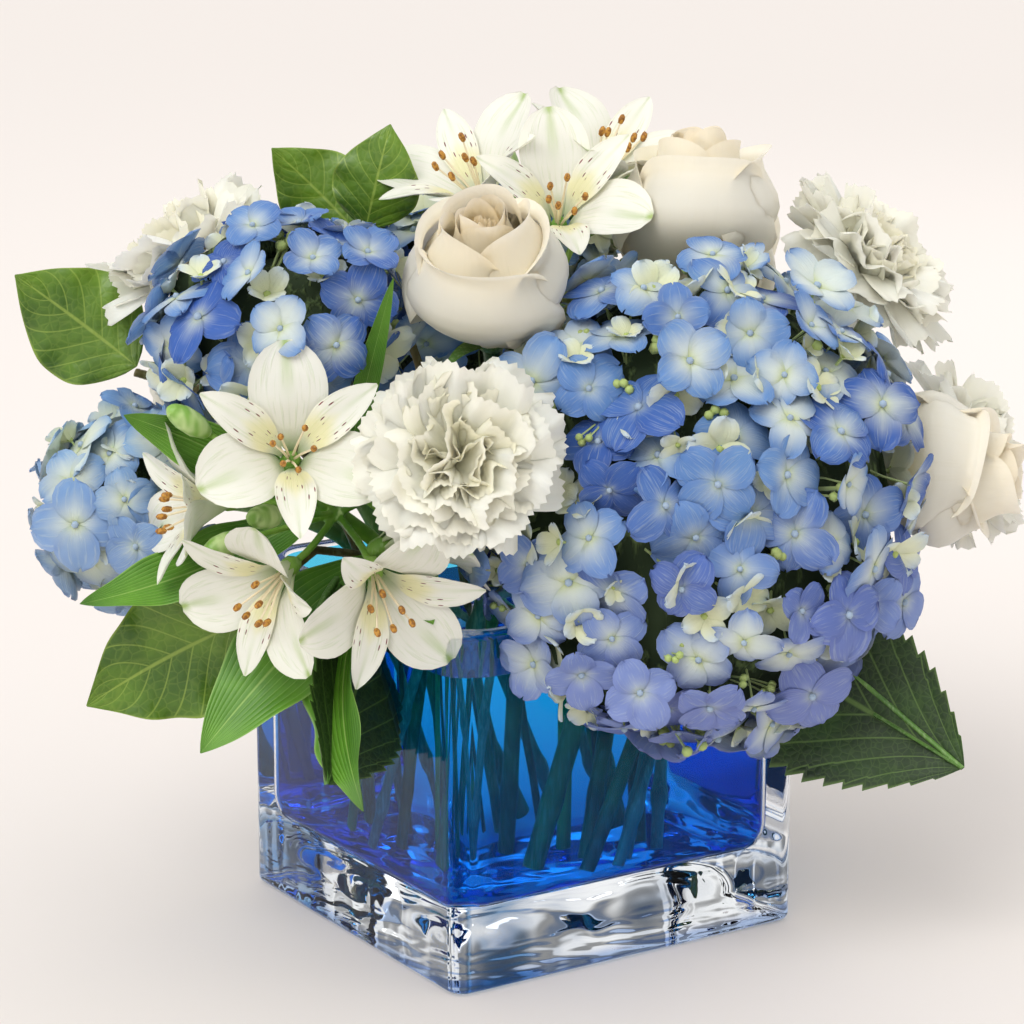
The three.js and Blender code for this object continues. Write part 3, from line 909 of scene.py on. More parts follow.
def leaf_grid(pose, rows, columns, widest, point, teeth=0, fold=0.12, ripple=0.0, seed=0):
    """A blade from base to tip. Point sharpens the tip, teeth notch the edge and ripple waves it."""
    base, along, length, across, front, width, bow = pose
    t, s = grid_of(rows, columns)
    shape = np.sin(math.pi * t ** (math.log(0.5) / math.log(widest))) ** point
    saw = 1 + (0.13 * ((t * teeth) % 1 - 0.5) * np.abs(s) ** 6 if teeth else 0)
    half = width / 2 * np.clip(shape * saw, 0.012, None)
    waves = ripple * np.sin(2 * math.pi * (3.2 * t + seed * 0.37) + 1.5 * np.sign(s)) * np.abs(s) ** 2.5
    lift = bow * 4 * t * (1 - t) + fold * half * np.abs(s) ** 1.3 + waves * half
    offsets = ((t * length, along), (s * half, across), (lift, front))
    return base + sum(amount[..., None] * way for amount, way in offsets)


# %% Leaf finish
def leaf_finish(name, dark, light, vein, side_veins, slant, roughness, net=0, ribs=0):
    """Patchy green with a midrib, side veins that lean to the tip, and a fine net or lengthwise ribs."""
    finish = Finish(name, Specular_IOR_Level=0.5, Coat_Roughness=0.25)
    x, y = finish.map()
    off = abs(x - 0.5)
    midrib = 1 - finish.step(off, 0.006, 0.022)
    wander = finish.noise(40, 2) * 0.02
    ramp = y * side_veins - off * slant + wander
    line = ramp.math("PINGPONG", ramp, 0.5)
    sides = (1 - finish.step(line, 0.015, 0.06)) * finish.step(off, 0.0, 0.02)
    if ribs:
        cells = finish.noise(1.0, 1, finish.node("ShaderNodeCombineXYZ", None, x * ribs, y * 2, 0)) * 0.3
    else:
        cells = finish.node("ShaderNodeTexVoronoi", {"feature": "DISTANCE_TO_EDGE"}, named={
            "Vector": finish.object, "Scale": net,
        })
    mesh = 1 - finish.step(cells, 0.0, 0.12)
    pattern = midrib.larger((sides * 0.75).larger(mesh * 0.2))
    patches = finish.step(finish.noise(45, 4), 0.3, 0.75)
    green = finish.mix(patches, dark, light)
    rim = finish.step(off, 0.465, 0.5) * 0.5
    finish.feed("Base Color", finish.mix((pattern * 0.55).larger(rim), green, vein))
    finish.feed("Roughness", finish.noise(130, 2) * 0.2 + roughness)
    pillow = finish.step(line, 0.0, 0.4) * 0.6 + finish.step(off, 0.0, 0.12) * 0.5 + cells * 1.2
    finish.bump(pillow, 0.5, 0.5)
    return finish.material


WAXY_COAT = 0.1
LEMON_LEAF = leaf_finish("lemon_leaf", "34590f", "678c20", "a3b850", side_veins=7, slant=4.5, roughness=0.32,
                         net=320)
TOOTHED_LEAF = leaf_finish("hydrangea_leaf", "14290b", "264510", "6f9044", side_veins=8, slant=6,
                           roughness=0.5, net=420)
STRAP_LEAF = leaf_finish("alstroemeria_leaf", "3f7418", "679f2a", "a4c76a", side_veins=0, slant=14,
                         roughness=0.38, ribs=36)
for material in (LEMON_LEAF, STRAP_LEAF):
    material.node_tree.nodes["Principled BSDF"].inputs["Coat Weight"].default_value = WAXY_COAT


# %% Grow the leaves
def nearest_point(name, others):
    """The point of some other solids that is nearest to a solid."""
    mine = points_of(name)
    theirs = np.concatenate([points_of(other) for other in others])
    apart = np.linalg.norm(mine[:, None] - theirs[None], axis=2)
    return theirs[np.unravel_index(apart.argmin(), apart.shape)[1]]


def plain_leaves(slot, names, twigs, material, thick, **shape):
    """Leaves without a stalk of their own, which grow from the nearest twig."""
    for number, name in enumerate(names):
        pose = leaf_pose(name, nearest_point(name, twigs))
        blades = Blades()
        blades.blade(leaf_grid(pose, seed=number, **shape), thick)
        finished(name + "_blade", blades.mesh(name, [material]), slot, name)


plain_leaves("lemon_leaf", nodes_like("lemon_leaf", "twig"), nodes_like("lemon_leaf_twig"), LEMON_LEAF,
             0.4 * MM, rows=36, columns=17, widest=0.4, point=0.95, fold=0.16, ripple=0.1)
plain_leaves("alstroemeria_leaf", nodes_like("alstroemeria_leaf"), ["alstroemeria_stem_left"], STRAP_LEAF,
             0.3 * MM, rows=40, columns=9, widest=0.45, point=0.8, fold=0.22, ripple=0.12)

STALK_REACH = 2.2 * MM  # between points of one ring of a leaf stalk
STALK_WIDEST = 2.5 * MM  # a ring with a larger radius belongs to the blade

for number, name in enumerate(nodes_like("hydrangea_leaf")):
    stalk = [ring for ring in rings(name, STALK_REACH) if ring[1] < STALK_WIDEST]
    root = nearest_point(name, nodes_like("hydrangea_stem"))
    stalk.sort(key=lambda ring: np.linalg.norm(ring[0] - root))
    pose = leaf_pose(name, stalk[-1][0])
    blades = Blades()
    grid = leaf_grid(pose, rows=140, columns=19, widest=0.42, point=1.0, teeth=22, fold=0.14, ripple=0.06,
                     seed=number)
    blades.blade(grid, 0.45 * MM)
    base, along, length = pose[:3]
    path = [root, *[ring[0] for ring in stalk], base + 0.25 * length * along]
    blades.tube(path, np.linspace(1.7, 0.7, len(path)) * MM, 8, stay, kind=1)
    finished(name + "_blade", blades.mesh(name, [TOOTHED_LEAF, SOFT_STEM]), "hydrangea_leaf", name)

# %% [markdown]
# ## Hydrangea heads
# A mophead is a dome of a hundred or so florets, each of four broad sepals round a bead, on pale stalks that
# meet inside. Five open florets are modelled, from flat to half closed, and Geometry Nodes scatter them over
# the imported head. Poisson spacing keeps them from piling up, and each is tilted, turned and sized at random,
# from a fixed seed. A second scatter, a little deeper, puts young green florets and buds in the gaps.


# %% Floret shape
SEPAL_ROWS, SEPAL_COLUMNS = 8, 6


def sepal(length, width, turn, lift, curl, cup, wave, height, rng):
    """One broad sepal as a grid, from the floret's centre outwards."""
    along, across = np.linspace(0.02, 1, SEPAL_ROWS), np.linspace(-1, 1, SEPAL_COLUMNS)
    steps, s = np.meshgrid(along, across, indexing="ij")
    t = (1 - np.cos(math.pi * steps)) / 2
    tip = np.sin(math.pi * np.clip(steps, 0, 0.985))
    half = width / 2 * tip ** (0.7 + 0.1 * rng.random()) * (0.55 + 0.45 * smoothstep(steps, 0.0, 0.5))
    across = s * half
    out = t * length * (1 + 0.05 * np.sin(5 * s + rng.random() * 6))
    rise = height + lift * t * length - curl * t**2 * length
    rise = rise + cup * (across / width) ** 2 * length + wave * length * t * np.sin(4 * s + 6 * rng.random())
    return turned(out, across, rise, turn)


def floret(number, length, width, lift, curl, cup, wave):
    """Four overlapping sepals, a bead and a stalk. Their tone says which is which."""
    rng = np.random.default_rng(number)
    blades = Blades()
    for i in range(4):
        turn = i * math.pi / 2 + 0.12 * rng.normal()
        size = 1 + 0.07 * rng.normal()
        grid = sepal(length * size, width * size, turn, lift, curl + 0.05 * rng.normal(), cup, wave,
                     (0.5 if i % 2 else 0.0) * MM, rng)
        blades.blade(grid, 0.22 * MM, tone=0.0)
    bead = np.array([(0, -0.2), (0.7, 0.0), (1.2, 0.8), (1.1, 1.6), (0, 2.3)]) * MM
    blades.lathe(bead, 6, stay, tone=0.5)
    stalk = np.array([[0, 0, 0.2], [0.6, 0.3, -9], [0.2, -0.4, -19]]) * MM
    blades.tube(stalk, [0.5 * MM, 0.4 * MM, 0.6 * MM], 4, stay, tone=1.0)
    return bpy.data.objects.new(f"floret_{number}", blades.mesh(f"floret_{number}", []))


def bud_cluster(number):
    """A few round buds on short stalks."""
    rng = np.random.default_rng(90 + number)
    blades = Blades()
    for _ in range(4):
        spot = np.append(rng.normal(0, 3.2, 2), rng.uniform(-2, 2)) * MM
        ball = [(0, -1.5), (1.2, -0.9), (1.6, 0.2), (1.1, 1.2), (0, 1.6)]
        blades.lathe(np.array(ball) * MM, 6, lambda p: p + spot, tone=0.75)
        blades.tube([spot, spot * [0.6, 0.6, 1] - [0, 0, 0.008]], 0.4 * MM, 3, stay, tone=1.0)
    return bpy.data.objects.new(f"bud_cluster_{number}", blades.mesh(f"bud_cluster_{number}", []))


def shelf(name, objects):
    """A collection that isn't in the scene, to scatter from."""
    collection = bpy.data.collections.new(name)
    for item in objects:
        collection.objects.link(item)
    return collection


# number, length, width, lift, curl, cup, wave
OPEN_FLORETS = shelf("open_florets", [
    floret(1, 13.5 * MM, 14.0 * MM, 0.16, 0.24, 0.12, 0.03),
    floret(2, 12.5 * MM, 13.5 * MM, 0.30, 0.26, 0.30, 0.05),
    floret(3, 14.2 * MM, 13.4 * MM, 0.10, 0.30, 0.05, 0.06),
    floret(4, 12.0 * MM, 12.6 * MM, 0.42, 0.20, 0.35, 0.04),
    floret(5, 13.0 * MM, 14.4 * MM, 0.22, 0.34, 0.18, 0.07),
])
YOUNG_FLORETS = shelf("young_florets", [
    floret(6, 7.0 * MM, 7.0 * MM, 0.75, 0.15, 0.5, 0.05),
    floret(7, 8.5 * MM, 8.0 * MM, 0.50, 0.20, 0.4, 0.08),
    floret(8, 6.0 * MM, 6.4 * MM, 0.95, 0.10, 0.4, 0.05),
    bud_cluster(1),
    bud_cluster(2),
])


# %% The scattering tree
def scatter_group():
    group = Group("mophead", {
        "Florets": ("Collection", None),
        "Spacing": ("Float", 0.018),
        "Depth": ("Float", 0.002),
        "Tilt": ("Float", 0.4),
        "Smallest": ("Float", 0.85),
        "Largest": ("Float", 1.1),
        "Young": ("Float", 0.0),
        "Seed": ("Int", 1),
        "Material": ("Material", None),
    })
    seed = group.input("Seed")
    spread = group.node("GeometryNodeDistributePointsOnFaces", {"distribute_method": "POISSON"}, group.start,
                        named={"Distance Min": group.input("Spacing"), "Density Max": 20000.0, "Seed": seed})

    def chance(low, high, seed):
        """A random number for each point; sockets 2 and 3 are the least and most of a number."""
        named = {2: low, 3: high, "Seed": seed}
        return group.node("FunctionNodeRandomValue", {"data_type": "FLOAT"}, out=1, named=named)

    uneven = chance(-0.5, 1.5, seed)
    down = group.node("ShaderNodeVectorMath", {"operation": "SCALE"}, spread.other("Normal"), named={
        "Scale": uneven * group.input("Depth") * -1,
    })
    sunk = group.node("GeometryNodeSetPosition", None, spread, named={"Offset": down})
    tilt = group.input("Tilt")
    low = group.node("ShaderNodeCombineXYZ", None, tilt * -1, tilt * -1, -math.pi)
    high = group.node("ShaderNodeCombineXYZ", None, tilt, tilt, math.pi)
    angles = group.node("FunctionNodeRandomValue", {"data_type": "FLOAT_VECTOR"}, low, high,
                        named={"Seed": seed + 1})
    facing = group.node("FunctionNodeRotateRotation", {"rotation_space": "LOCAL"}, spread.other("Rotation"),
                        angles)
    size = chance(group.input("Smallest"), group.input("Largest"), seed + 2)
    florets = group.node("GeometryNodeCollectionInfo", None, group.input("Florets"), True, True)
    placed = group.node("GeometryNodeInstanceOnPoints", None, sunk, named={
        "Instance": florets, "Pick Instance": True, "Rotation": facing, "Scale": size,
    })
    for name, value in (("floret", chance(0.0, 1.0, seed + 3)), ("young", group.input("Young"))):
        placed = group.node("GeometryNodeStoreNamedAttribute", {"data_type": "FLOAT", "domain": "INSTANCE"},
                            placed, named={"Name": name, "Value": value})
    whole = group.node("GeometryNodeRealizeInstances", None, placed)
    group.output(whole)
    return group


SCATTER = scatter_group()


# %% Hydrangea finish
def hydrangea_finish(name, blue, deep, lavender, centre, paleness):
    """Sepals that fade from a blue rim to a cream heart; low ones are lavender, and one side is paler."""
    finish = Finish(name, Roughness=0.55, Specular_IOR_Level=0.25, Subsurface_Weight=0.25,
                    Subsurface_Scale=0.004, Subsurface_Radius=(0.6, 0.75, 1.0))
    x, y = finish.map()
    chance, young, part = (finish.attribute(n) for n in ("floret", "young", "tone"))
    off = abs(x - 0.5) * 2
    fan = finish.node("ShaderNodeCombineXYZ", None, off * 9, y * 1.5, chance * 40)
    vein = finish.step(finish.noise(1.6, 3, fan), 0.5, 0.72)
    cloud = finish.noise(55, 3)
    region = 0.5 - finish.noise(15, 1)
    place = finish.node("ShaderNodeSeparateXYZ", None, finish.object, out="X")
    low = 1 - finish.step(place.other("Z") + cloud * 0.05, 0.11, 0.2)
    pale_side = finish.step(place * 0.84 - place.other("Y") * 0.54, 0.05, 0.14) * (1 - low)
    reach = y * 0.9 + off * 0.2 + cloud * 0.35 + chance * 0.5 + region * 0.8 + low * 0.12
    reach = reach - pale_side * 0.4 - paleness
    rim = finish.step(reach, 0.25, 0.9)
    shade = finish.mix(finish.step(chance + cloud * 0.6, 0.75, 1.2), blue, deep)
    rim_colour = finish.mix(low * 0.75, shade, lavender)
    heart = finish.mix(finish.step(y, 0.0, 0.4), "c3d08c", centre)
    sepals = finish.mix(rim * (1 - vein * 0.2), heart, rim_colour)
    pale = finish.mix(finish.step(y + cloud * 0.4, 0.6, 1.2) * 0.75, "e2e8c0", "b4cbea")
    petals = finish.mix(young, sepals, pale)
    bits = finish.mix(finish.step(part, 0.55, 0.95), finish.mix(young, "9fb2c8", "b4c674"), "a9bd7c")
    finish.feed("Base Color", finish.mix(finish.step(part, 0.1, 0.4), petals, bits))
    finish.bump(vein * 0.6 + finish.noise(400, 2) * 0.4, 0.18, 0.6)
    return finish.material


def shaded_core_finish():
    """The tangle of stalks inside a head, painted dark for the shade deep in the head, with pale streaks."""
    finish = Finish("hydrangea_core", Roughness=0.9)
    streak = finish.step(finish.noise(260, 3, finish.stretched(0.35)), 0.5, 0.75)
    # painted shade: the dark green stands in for the shade among the stalks
    finish.feed("Base Color", finish.mix(streak, "2a3a1e", "6f8550"))
    finish.bump(streak, 1.5)
    return finish.material


CORNFLOWER = hydrangea_finish("hydrangea_sepals", "5f88c6", "3459aa", "7f8ac6", "cfdcd8", 0.19)
PALE_BLUE = hydrangea_finish("hydrangea_sepals_pale", "7fa6d2", "5f88c2", "98aace", "dce8d8", 0.42)
PAINTED_SHADE_CORE = shaded_core_finish()


# %% Grow the heads
def others_tree(name, skip):
    """A search tree of the pieces round a head."""
    points, faces = [], []
    for other in NODES:
        if other == name or any(other.startswith(word) for word in skip):
            continue
        mesh = frame["nodes"][other].data
        faces += [[i + len(points) for i in p.vertices] for p in mesh.polygons]
        points += [v.co.copy() for v in mesh.vertices]
    return BVHTree.FromPolygons(points, faces)


def without_faces_near(mesh, tree, reach):
    """Removes the faces of a mesh that lie within reach of a search tree's surfaces."""
    work = bmesh.new()
    work.from_mesh(mesh)
    near = [f for f in work.faces if tree.find_nearest(f.calc_center_median(), reach)[0]]
    bmesh.ops.delete(work, geom=near, context="FACES")
    work.to_mesh(mesh)
    work.free()


def sunk(mesh, depth):
    """A copy of a mesh, moved in by a depth."""
    copy = mesh.copy()
    places, normals = np.empty(3 * len(copy.vertices)), np.empty(3 * len(copy.vertices), dtype=np.float32)
    copy.vertices.foreach_get("co", places)
    copy.vertex_normals.foreach_get("vector", normals)
    copy.vertices.foreach_set("co", places - depth * normals)
    copy.update()
    return copy


def emitter(mesh, depth, tree, reach):
    """A copy of a surface, sunk by a depth and kept clear of the neighbours."""
    copy = sunk(mesh, depth)
    without_faces_near(copy, tree, reach)
    surface = bpy.data.objects.new("emitter", copy)
    bpy.context.collection.objects.link(surface)
    return surface


def joined(name, meshes):
    """Several meshes as one, with their materials, UV maps and attributes."""
    pieces = []
    for mesh in meshes:
        piece = bpy.data.objects.new(name, mesh)
        bpy.context.collection.objects.link(piece)
        pieces.append(piece)
    with bpy.context.temp_override(active_object=pieces[0], selected_editable_objects=pieces):
        bpy.ops.object.join()
    mesh = pieces[0].data
    bpy.data.objects.remove(pieces[0])
    return mesh


CORE_DEPTH = 13 * MM


def mophead(name, material, seed):
    """Open florets on the surface, young ones a little deeper, and a core under both, painted dark as the
    shade inside the head.
    """
    surface = melted(name, 3.5 * MM, 6)
    tree = others_tree(name, ("hydrangea_stem", "water", "hydrangea_leaf"))
    shared = {"Material": material, "Seed": seed}
    big = SCATTER.run(emitter(surface, 1.5 * MM, tree, 4.5 * MM), {
        **shared, "Florets": OPEN_FLORETS, "Spacing": 13.8 * MM, "Depth": 4.5 * MM, "Tilt": 0.5,
        "Smallest": 0.78, "Largest": 1.1,
    })
    young = SCATTER.run(emitter(surface, 5 * MM, tree, 3 * MM), {
        **shared, "Florets": YOUNG_FLORETS, "Spacing": 12 * MM, "Depth": 3.5 * MM, "Tilt": 0.7, "Young": 1.0,
        "Smallest": 0.7, "Largest": 1.25, "Seed": seed + 50,
    })
    # a sheet of painted shade under the florets
    core = sunk(surface, CORE_DEPTH)
    core.materials.append(PAINTED_SHADE_CORE)
    return joined(name, [big, young, core])


for seed, name in enumerate(nodes_like("hydrangea", "stem", "leaf")):
    material = PALE_BLUE if name.endswith("low_left") else CORNFLOWER
    finished(name + "_head", mophead(name, material, 7 * seed + 3), "hydrangea_petals", name)

# %% [markdown]
# ## Roses
# A rose opens in a spiral: a coiled heart, then petals that each wrap part of the way round, one edge tucked
# under its neighbour, taller and tighter inside, wider and rolled back at the rim outside. Each petal is a
# blade whose rows climb from the green hip and whose columns go round the axis.


# %% Rose petals
def wrapped_petal(k, turn, sweep, foot, belly, rim_radius, rise, roll, tuck, rng):
    """A petal that wraps the axis: belly is its widest radius, roll how far its rim turns back."""
    t, s = grid_of(14, 19)
    narrow = 0.3 + 0.7 * np.sin(math.pi / 2 * np.clip(t * 1.5, 0, 1))
    angle = turn + s * sweep * narrow
    edge = np.abs(s) ** 2.2
    radius = foot + (belly - foot) * np.sin(math.pi / 2 * np.clip(t * 1.55, 0, 1))
    radius = radius + (rim_radius - belly) * smoothstep(t, 0.45, 1.0)
    lip = smoothstep(t, 0.72, 1.0)
    radius = radius + roll * lip**2 + tuck * s * k + 0.5 * k * np.sin(2.3 * s + rng.random() * 6) * t
    height = rise * (t - (0.14 * edge + 0.18 * edge**3) * t) - roll * 0.8 * lip**2.5
    height = height + 0.6 * k * np.sin(4 * s + rng.random() * 6) * lip
    radius = radius + 0.3 * k * np.sin(6 * s + rng.random() * 6) * lip
    return np.stack([radius * np.cos(angle), radius * np.sin(angle), height], 2)


def rose_heart(k, turns, inner, outer, base, top):
    """The coil of small petals in the middle, as one ribbon."""
    t, s = np.meshgrid(np.linspace(0, 1, 10), np.linspace(0, 1, 70), indexing="ij")
    angle = 2 * math.pi * turns * s
    bulge = 1 + 0.12 * np.sin(math.pi * t) - 0.16 * t**2
    radius = (inner + (outer - inner) * s) * (0.75 + 0.25 * t) * bulge
    radius = radius * (1 + 0.06 * np.sin(3 * angle))
    crest = top - 3.0 * k * s + 0.9 * k * np.sin(3 * angle + 1)
    height = base + (crest - base) * t
    return np.stack([radius * np.cos(angle), radius * np.sin(angle), height], 2)


ROSE_HEIGHT = 52  # the rose's own units, which k turns into metres: about a millimetre each


def rose(bloom, seed):
    rng = np.random.default_rng(seed)
    k = (bloom.height + 0.6 * MM) / ROSE_HEIGHT
    lift = 4.5 * k
    blades = Blades()

    def petal(tone, *numbers):
        grid = wrapped_petal(k, *numbers, rng)
        grid[..., 2] += lift
        blades.blade(bloom.place_grid(grid), 0.3 * MM, tone)

    coil = rose_heart(k, 2.4, 0.8 * k, 4.6 * k, 16 * k, 50 * k)
    blades.blade(bloom.place_grid(coil)[:, ::-1], 0.35 * MM, 1.0)
    layers = (
        # tone, petals, sweep, belly, rim, rise, roll
        (0.85, 3, 1.55, 9.0, 5.6, 48.0, 0.4),
        (0.60, 3, 1.50, 14.5, 7.4, 49.5, 0.8),
        (0.35, 3, 1.50, 21.5, 10.2, 50.0, 2.0),
        (0.10, 3, 1.45, 26.5, 15.0, 46.5, 4.4),
    )
    for number, (tone, count, sweep, belly, rim_at, rise, roll) in enumerate(layers):
        for i in range(count):
            turn = 2 * math.pi * (i + 0.38 * number) / count + 0.12 * rng.normal()
            size = k * (1 + 0.03 * rng.normal())
            tint = tone + 0.06 * rng.normal()
            lip = roll * k * (1 + 0.25 * rng.normal())
            petal(tint, turn, sweep, 3.5 * k, belly * size, rim_at * size, rise * size, lip, 1.1)
    hip = np.array([(0, -0.2), (4.2, 0.2), (5.2, 3), (5.0, 6.5), (3.4, 8.5), (0, 9)]) * k
    blades.lathe(hip, 16, bloom.place, kind=1)
    for i in range(5):
        t, s = grid_of(12, 5)
        half = 3.2 * k * np.clip(1 - t, 0.03, 1) ** 0.8
        radius = 4.6 * k + 19 * k * t**0.8
        height = 5.5 * k + 11 * k * t - 9 * k * t**2.5
        turn = 2 * math.pi * i / 5 + 0.4
        cup_leaf = turned(radius, s * half, height, turn)
        blades.blade(bloom.place_grid(cup_leaf)[:, ::-1], 0.4 * MM, kind=1)
    return blades


# %% Petal finish
def petal_finish(name, outer, inner, base, vein_colour):
    """Soft petals: the tone deepens towards the heart, the base is warmer, faint veins run up the blade."""
    finish = Finish(name, Roughness=0.5, Specular_IOR_Level=0.3, Subsurface_Weight=0.5,
                    Subsurface_Scale=0.005, Subsurface_Radius=(1.0, 0.85, 0.7), Sheen_Weight=0.1,
                    Sheen_Roughness=0.4)
    x, y = finish.map()
    tone = finish.attribute("tone")
    fan = finish.node("ShaderNodeCombineXYZ", None, x * 26, y * 1.6, tone * 30)
    vein = finish.step(finish.noise(1.3, 3, fan), 0.48, 0.75)
    mottle = finish.noise(140, 4)
    body = finish.mix(finish.step(tone + mottle * 0.15, 0.1, 1.0), outer, inner)
    body = finish.mix((1 - finish.step(y, 0.05, 0.7)) * 0.6, body, base)
    body = finish.mix(vein * 0.14, body, vein_colour)
    finish.feed("Base Color", body)
    finish.bump(vein * 0.4 + mottle * 0.6, 0.12, 0.6)
    return finish.material


ROSE_PETAL = petal_finish("rose_petals", "faf2dc", "fbebc6", "f6dca2", "f4e9ca")
GREEN_CUP = stem_finish("green_cup", "7fa257", "56803a", 0.3)

for seed, name in enumerate(nodes_like("rose", "stem")):
    bloom = Bloom(name, name.replace("rose", "rose_stem"))
    print(name, "axis", np.round(bloom.axis, 2), "radius", round(bloom.radius / MM, 1), "mm")
    mesh = rose(bloom, 11 + seed).mesh(name, [ROSE_PETAL, GREEN_CUP])
    finished(name + "_petals", mesh, "rose_petals", name)

# %% [markdown]
# ## Carnations
# A carnation is a long green calyx out of which some forty petals spill. Each is a fan on a narrow claw,
# ruffled across and cut into small teeth at the rim. The outer ones lie nearly flat and the inner ones stand
# up and crumple against each other. No two are alike, so each is made with its own numbers from a seeded
# generator.


# %% Carnation petals
def ruffled_petal(k, turn, lean, length, width, base, rng):
    """A fan that leaves the axis at base and bends out to an angle of lean from it."""
    columns = 29
    t, s = grid_of(11, columns)
    cuts = np.where(np.arange(columns) % 2, 1, -1) * rng.uniform(0.2, 1.6, columns)
    teeth = 1 + 0.015 * cuts[None] * smoothstep(t, 0.8, 1)
    notch = 1 - 0.08 * np.abs(s) ** 2 + 0.03 * np.sin(7 * s + rng.random() * 6) * t
    reach = length * t * teeth * notch
    bend = lean * smoothstep(t, 0.0, 0.75) + 0.35 * rng.normal() * t * 0.5
    steps = np.diff(reach, axis=0, prepend=0)
    out = np.cumsum(steps * np.sin(bend), axis=0)
    up = np.cumsum(steps * np.cos(bend), axis=0)
    half = width / 2 * (0.12 + 0.88 * smoothstep(t, 0.12, 0.85))
    waves = rng.uniform(1.2, 2.2)
    ruffle = smoothstep(t, 0.3, 1.0) * k * rng.uniform(2.0, 3.4)
    swing = ruffle * np.sin(math.pi * waves * s + rng.random() * 6)
    swing = swing + 0.3 * ruffle * np.sin(math.pi * 2.6 * waves * s + rng.random() * 6)
    out, up = out - swing * np.cos(bend), up + swing * np.sin(bend)
    return turned(out, s * half, base + up, turn)


CARNATION_HEIGHT = 57  # in its own units, as for the rose


def carnation(bloom, seed):
    rng = np.random.default_rng(seed)
    k = (bloom.height + 0.6 * MM) / CARNATION_HEIGHT
    blades = Blades()
    layers = (
        # petals, lean, length, width, tone
        (8, 1.55, 39, 34, 0.0),
        (8, 1.20, 38, 33, 0.15),
        (7, 0.85, 34, 31, 0.35),
        (6, 0.55, 30, 26, 0.6),
        (5, 0.25, 28, 21, 0.9),
    )
    for number, (count, lean, length, width, tone) in enumerate(layers):
        for i in range(count):
            turn = 2 * math.pi * (i + 0.5 * number) / count + 0.18 * rng.normal()
            size = k * (1 + 0.05 * rng.normal())
            tipped = lean + 0.16 * rng.normal()
            grid = ruffled_petal(k, turn, tipped, length * size, width * size, 27 * k, rng)
            grid[..., :2] += 0.6 * k * rng.normal(size=2)
            blades.blade(bloom.place_grid(grid)[:, ::-1], 0.3 * MM, tone + 0.08 * rng.normal())
    calyx = [(0, -0.3), (3.4, 0), (4.6, 3), (5.6, 9), (6.4, 18), (6.8, 26), (7.2, 30), (0, 30.5)]
    blades.lathe(np.array(calyx) * k, 18, bloom.place, kind=1)
    return blades


CARNATION_PETAL = petal_finish("carnation_petals", "f8f7ea", "f6f2d8", "e6e8bc", "eeecd8")
CALYX = stem_finish("calyx", "86a883", "5d8462", 0.35)
for seed, name in enumerate(nodes_like("carnation", "stem")):
    bloom = Bloom(name, name.replace("carnation", "carnation_stem"))
    petals = carnation(bloom, 41 + seed)
    finished(name + "_petals", petals.mesh(name, [CARNATION_PETAL, CALYX]), "carnation_petals", name)

# %% [markdown]
# ## Alstroemeria
# Each flower has three broad outer tepals with a green tip and three narrow inner ones, whose yellow patch is
# marked with short maroon dashes, round six stamens. The tepals leave the green hip as a narrow funnel and
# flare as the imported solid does. The dashes are cells of a stretched pattern on the UV map, kept to the
# yellow patch.


# %% Tepals and stamens
def tepal(k, turn, width, length, flare, inner, rng):
    """A blade that climbs the funnel and flares; its middle is folded a little."""
    t, s = grid_of(20, 11)
    curve = np.array([(2.0, 3), (3.2, 7), (6.5, 15), (13, 21.5), (21, 26), (30, 29)])
    stops = np.linspace(0, 1, len(curve))
    out = np.interp(t, stops, curve[:, 0]) * k * length
    up = np.interp(t, stops, curve[:, 1]) * k
    out, up = out, up + flare * k * smoothstep(t, 0.55, 1.0)
    widest = 0.62 if inner else 0.68
    shape = np.sin(math.pi * np.clip(t, 0.004, 0.996) ** (math.log(0.5) / math.log(widest)))
    shape = shape ** (0.7 if inner else 0.5) * (0.35 + 0.65 * smoothstep(t, 0.1, 0.6))
    half = width / 2 * k * np.clip(shape, 0.05, None)
    fold = -0.10 * half * (1 - np.abs(s)) + 0.16 * half * np.abs(s) ** 2
    wave = 0.05 * half * np.sin(6 * t + 3 * s + rng.random() * 6)
    return turned(out, s * half, up + fold + wave, turn)


ALSTROEMERIA_RADIUS = 30  # in its own units, as for the rose


def alstroemeria(bloom, seed):
    rng = np.random.default_rng(seed)
    k = bloom.radius / ALSTROEMERIA_RADIUS
    blades = Blades()
    first = math.pi / 2 + 0.3 * rng.normal()
    for i in range(6):
        inner = i % 2
        turn = first + math.pi * i / 3 + 0.05 * rng.normal()
        width, length = (12.0, 0.97) if inner else (23.0, 1.0)
        grid = tepal(k, turn, width, length, (0.5 if inner else -1.5) + rng.normal(), inner, rng)
        if inner:
            grid[..., 2] += 0.8 * k
        blades.blade(bloom.place_grid(grid)[:, ::-1], 0.35 * MM, 0.8 if inner else 0.2)
    for i in range(6):
        turn = first + math.pi * (i + 0.5) / 3 + 0.2 * rng.normal()
        bow = rng.uniform(4, 8)
        far = np.array([bow * math.cos(turn), bow * math.sin(turn) - 2.5, rng.uniform(24, 31)])
        path = np.array([[0.5 * math.cos(turn), 0.5 * math.sin(turn), 6], far * [0.45, 0.45, 0.6], far]) * k
        blades.tube(path, [0.45 * MM, 0.4 * MM, 0.3 * MM], 5, bloom.place, kind=2, tone=0.2)
        anther = np.array([(0, -1.9), (0.8, -1.3), (1.05, 0), (0.8, 1.3), (0, 1.9)]) * MM
        blades.lathe(anther, 8, lambda p, far=far: bloom.place(p + far * k), kind=2, tone=0.9)
    hip = np.array([(0, -0.2), (1.7, 0), (3.0, 2), (3.2, 5), (2.2, 8.5), (0, 9)]) * k
    blades.lathe(hip, 12, bloom.place, kind=1, squash=lambda a: 1 + 0.08 * np.cos(6 * a))
    return blades


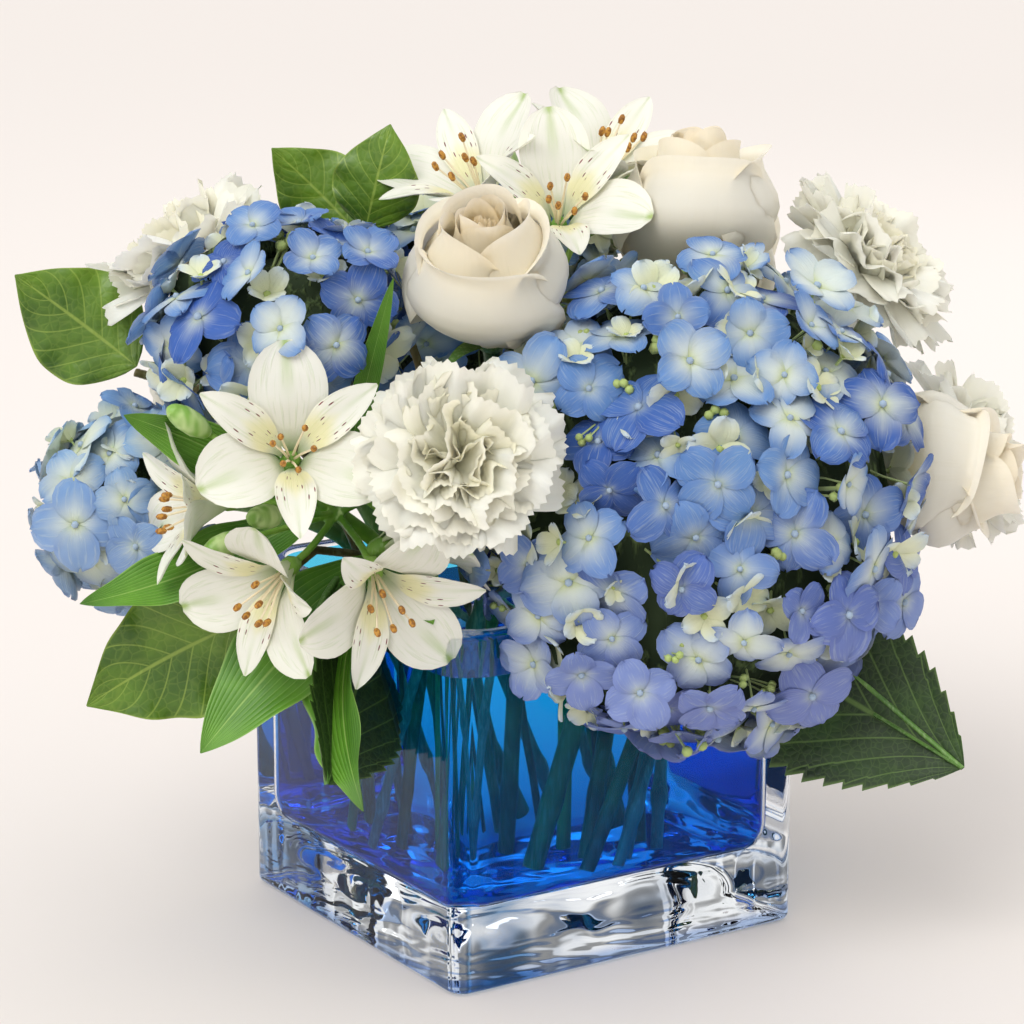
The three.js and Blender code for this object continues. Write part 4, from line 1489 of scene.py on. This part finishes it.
# %% Tepal finish
def tepal_finish():
    """White with faint green veins, a green tip and throat, and a dashed yellow patch on the inner tepals."""
    finish = Finish("alstroemeria_tepals", Roughness=0.42, Specular_IOR_Level=0.35, Subsurface_Weight=0.3,
                    Subsurface_Scale=0.005, Subsurface_Radius=(1.0, 0.9, 0.7))
    x, y = finish.map()
    inner = finish.step(finish.attribute("tone"), 0.4, 0.6)
    off = abs(x - 0.5) * 2
    fan = finish.node("ShaderNodeCombineXYZ", None, off * 7, y * 2, inner * 9)
    vein = finish.step(finish.noise(1.5, 2, fan), 0.5, 0.7)
    white = finish.mix(vein * 0.5, "f1f0e2", "d6dfbc")
    midrib = (1 - finish.step(off, 0.0, 0.3)) * finish.step(y, 0.55, 0.9) * 0.5
    tip = finish.step(y - off * 0.1, 0.9, 0.985)
    green = (1 - inner * 0.55) * tip.larger(midrib)
    base = (1 - finish.step(y, 0.1, 0.5)) * 0.7
    tinted = finish.mix(base.larger(green), white, "a5c06a")
    patch = inner * finish.step(y, 0.3, 0.45) * (1 - finish.step(y + off * 0.15, 0.56, 0.74))
    yellow = finish.mix(patch * 0.6, tinted, "eee794")
    spots = finish.node("ShaderNodeCombineXYZ", None, x * 13, y * 9, 0)
    cells = finish.node("ShaderNodeTexVoronoi", None, spots, named={"Scale": 1.0, "Randomness": 0.75})
    narrow = (1 - finish.step(cells, 0.16, 0.26)) * inner
    zone = finish.step(y, 0.3, 0.42) * (1 - finish.step(y, 0.72, 0.84))
    finish.feed("Base Color", finish.mix(narrow * zone, yellow, "6a1f2c"))
    finish.bump(vein, 0.15, 0.5)
    return finish.material


def stamen_finish():
    """Pale filaments with rusty anthers."""
    finish = Finish("stamens", Roughness=0.6)
    grain = finish.noise(900, 2)
    anther = finish.mix(finish.step(grain, 0.4, 0.6), "8a5a22", "c08a35")
    finish.feed("Base Color", finish.mix(finish.step(finish.attribute("tone"), 0.4, 0.7), "e9dcc0", anther))
    finish.bump(grain, 0.1)
    return finish.material


TEPAL, STAMEN = tepal_finish(), stamen_finish()
FRESH_CUP = stem_finish("alstroemeria_hip", "9bc25a", "6b9a38", 0.25)
for seed, name in enumerate(nodes_like("alstroemeria", "stem", "leaf")):
    middle = points_of(name).mean(axis=0)
    gaps = {s: np.linalg.norm(points_of(s) - middle, axis=1).min() for s in nodes_like("alstroemeria_stem")}
    bloom = Bloom(name, min(gaps, key=gaps.get))
    mesh = alstroemeria(bloom, 71 + seed).mesh(name, [TEPAL, FRESH_CUP, STAMEN])
    finished(name + "_flower", mesh, "alstroemeria_petals", name)

# %% [markdown]
# ## Tidying up
# The florets that were scattered are no longer needed as objects.

# %% Tidy up and finish
for collection in (OPEN_FLORETS, YOUNG_FLORETS):
    for item in list(collection.objects):
        bpy.data.objects.remove(item)
    bpy.data.collections.remove(collection)
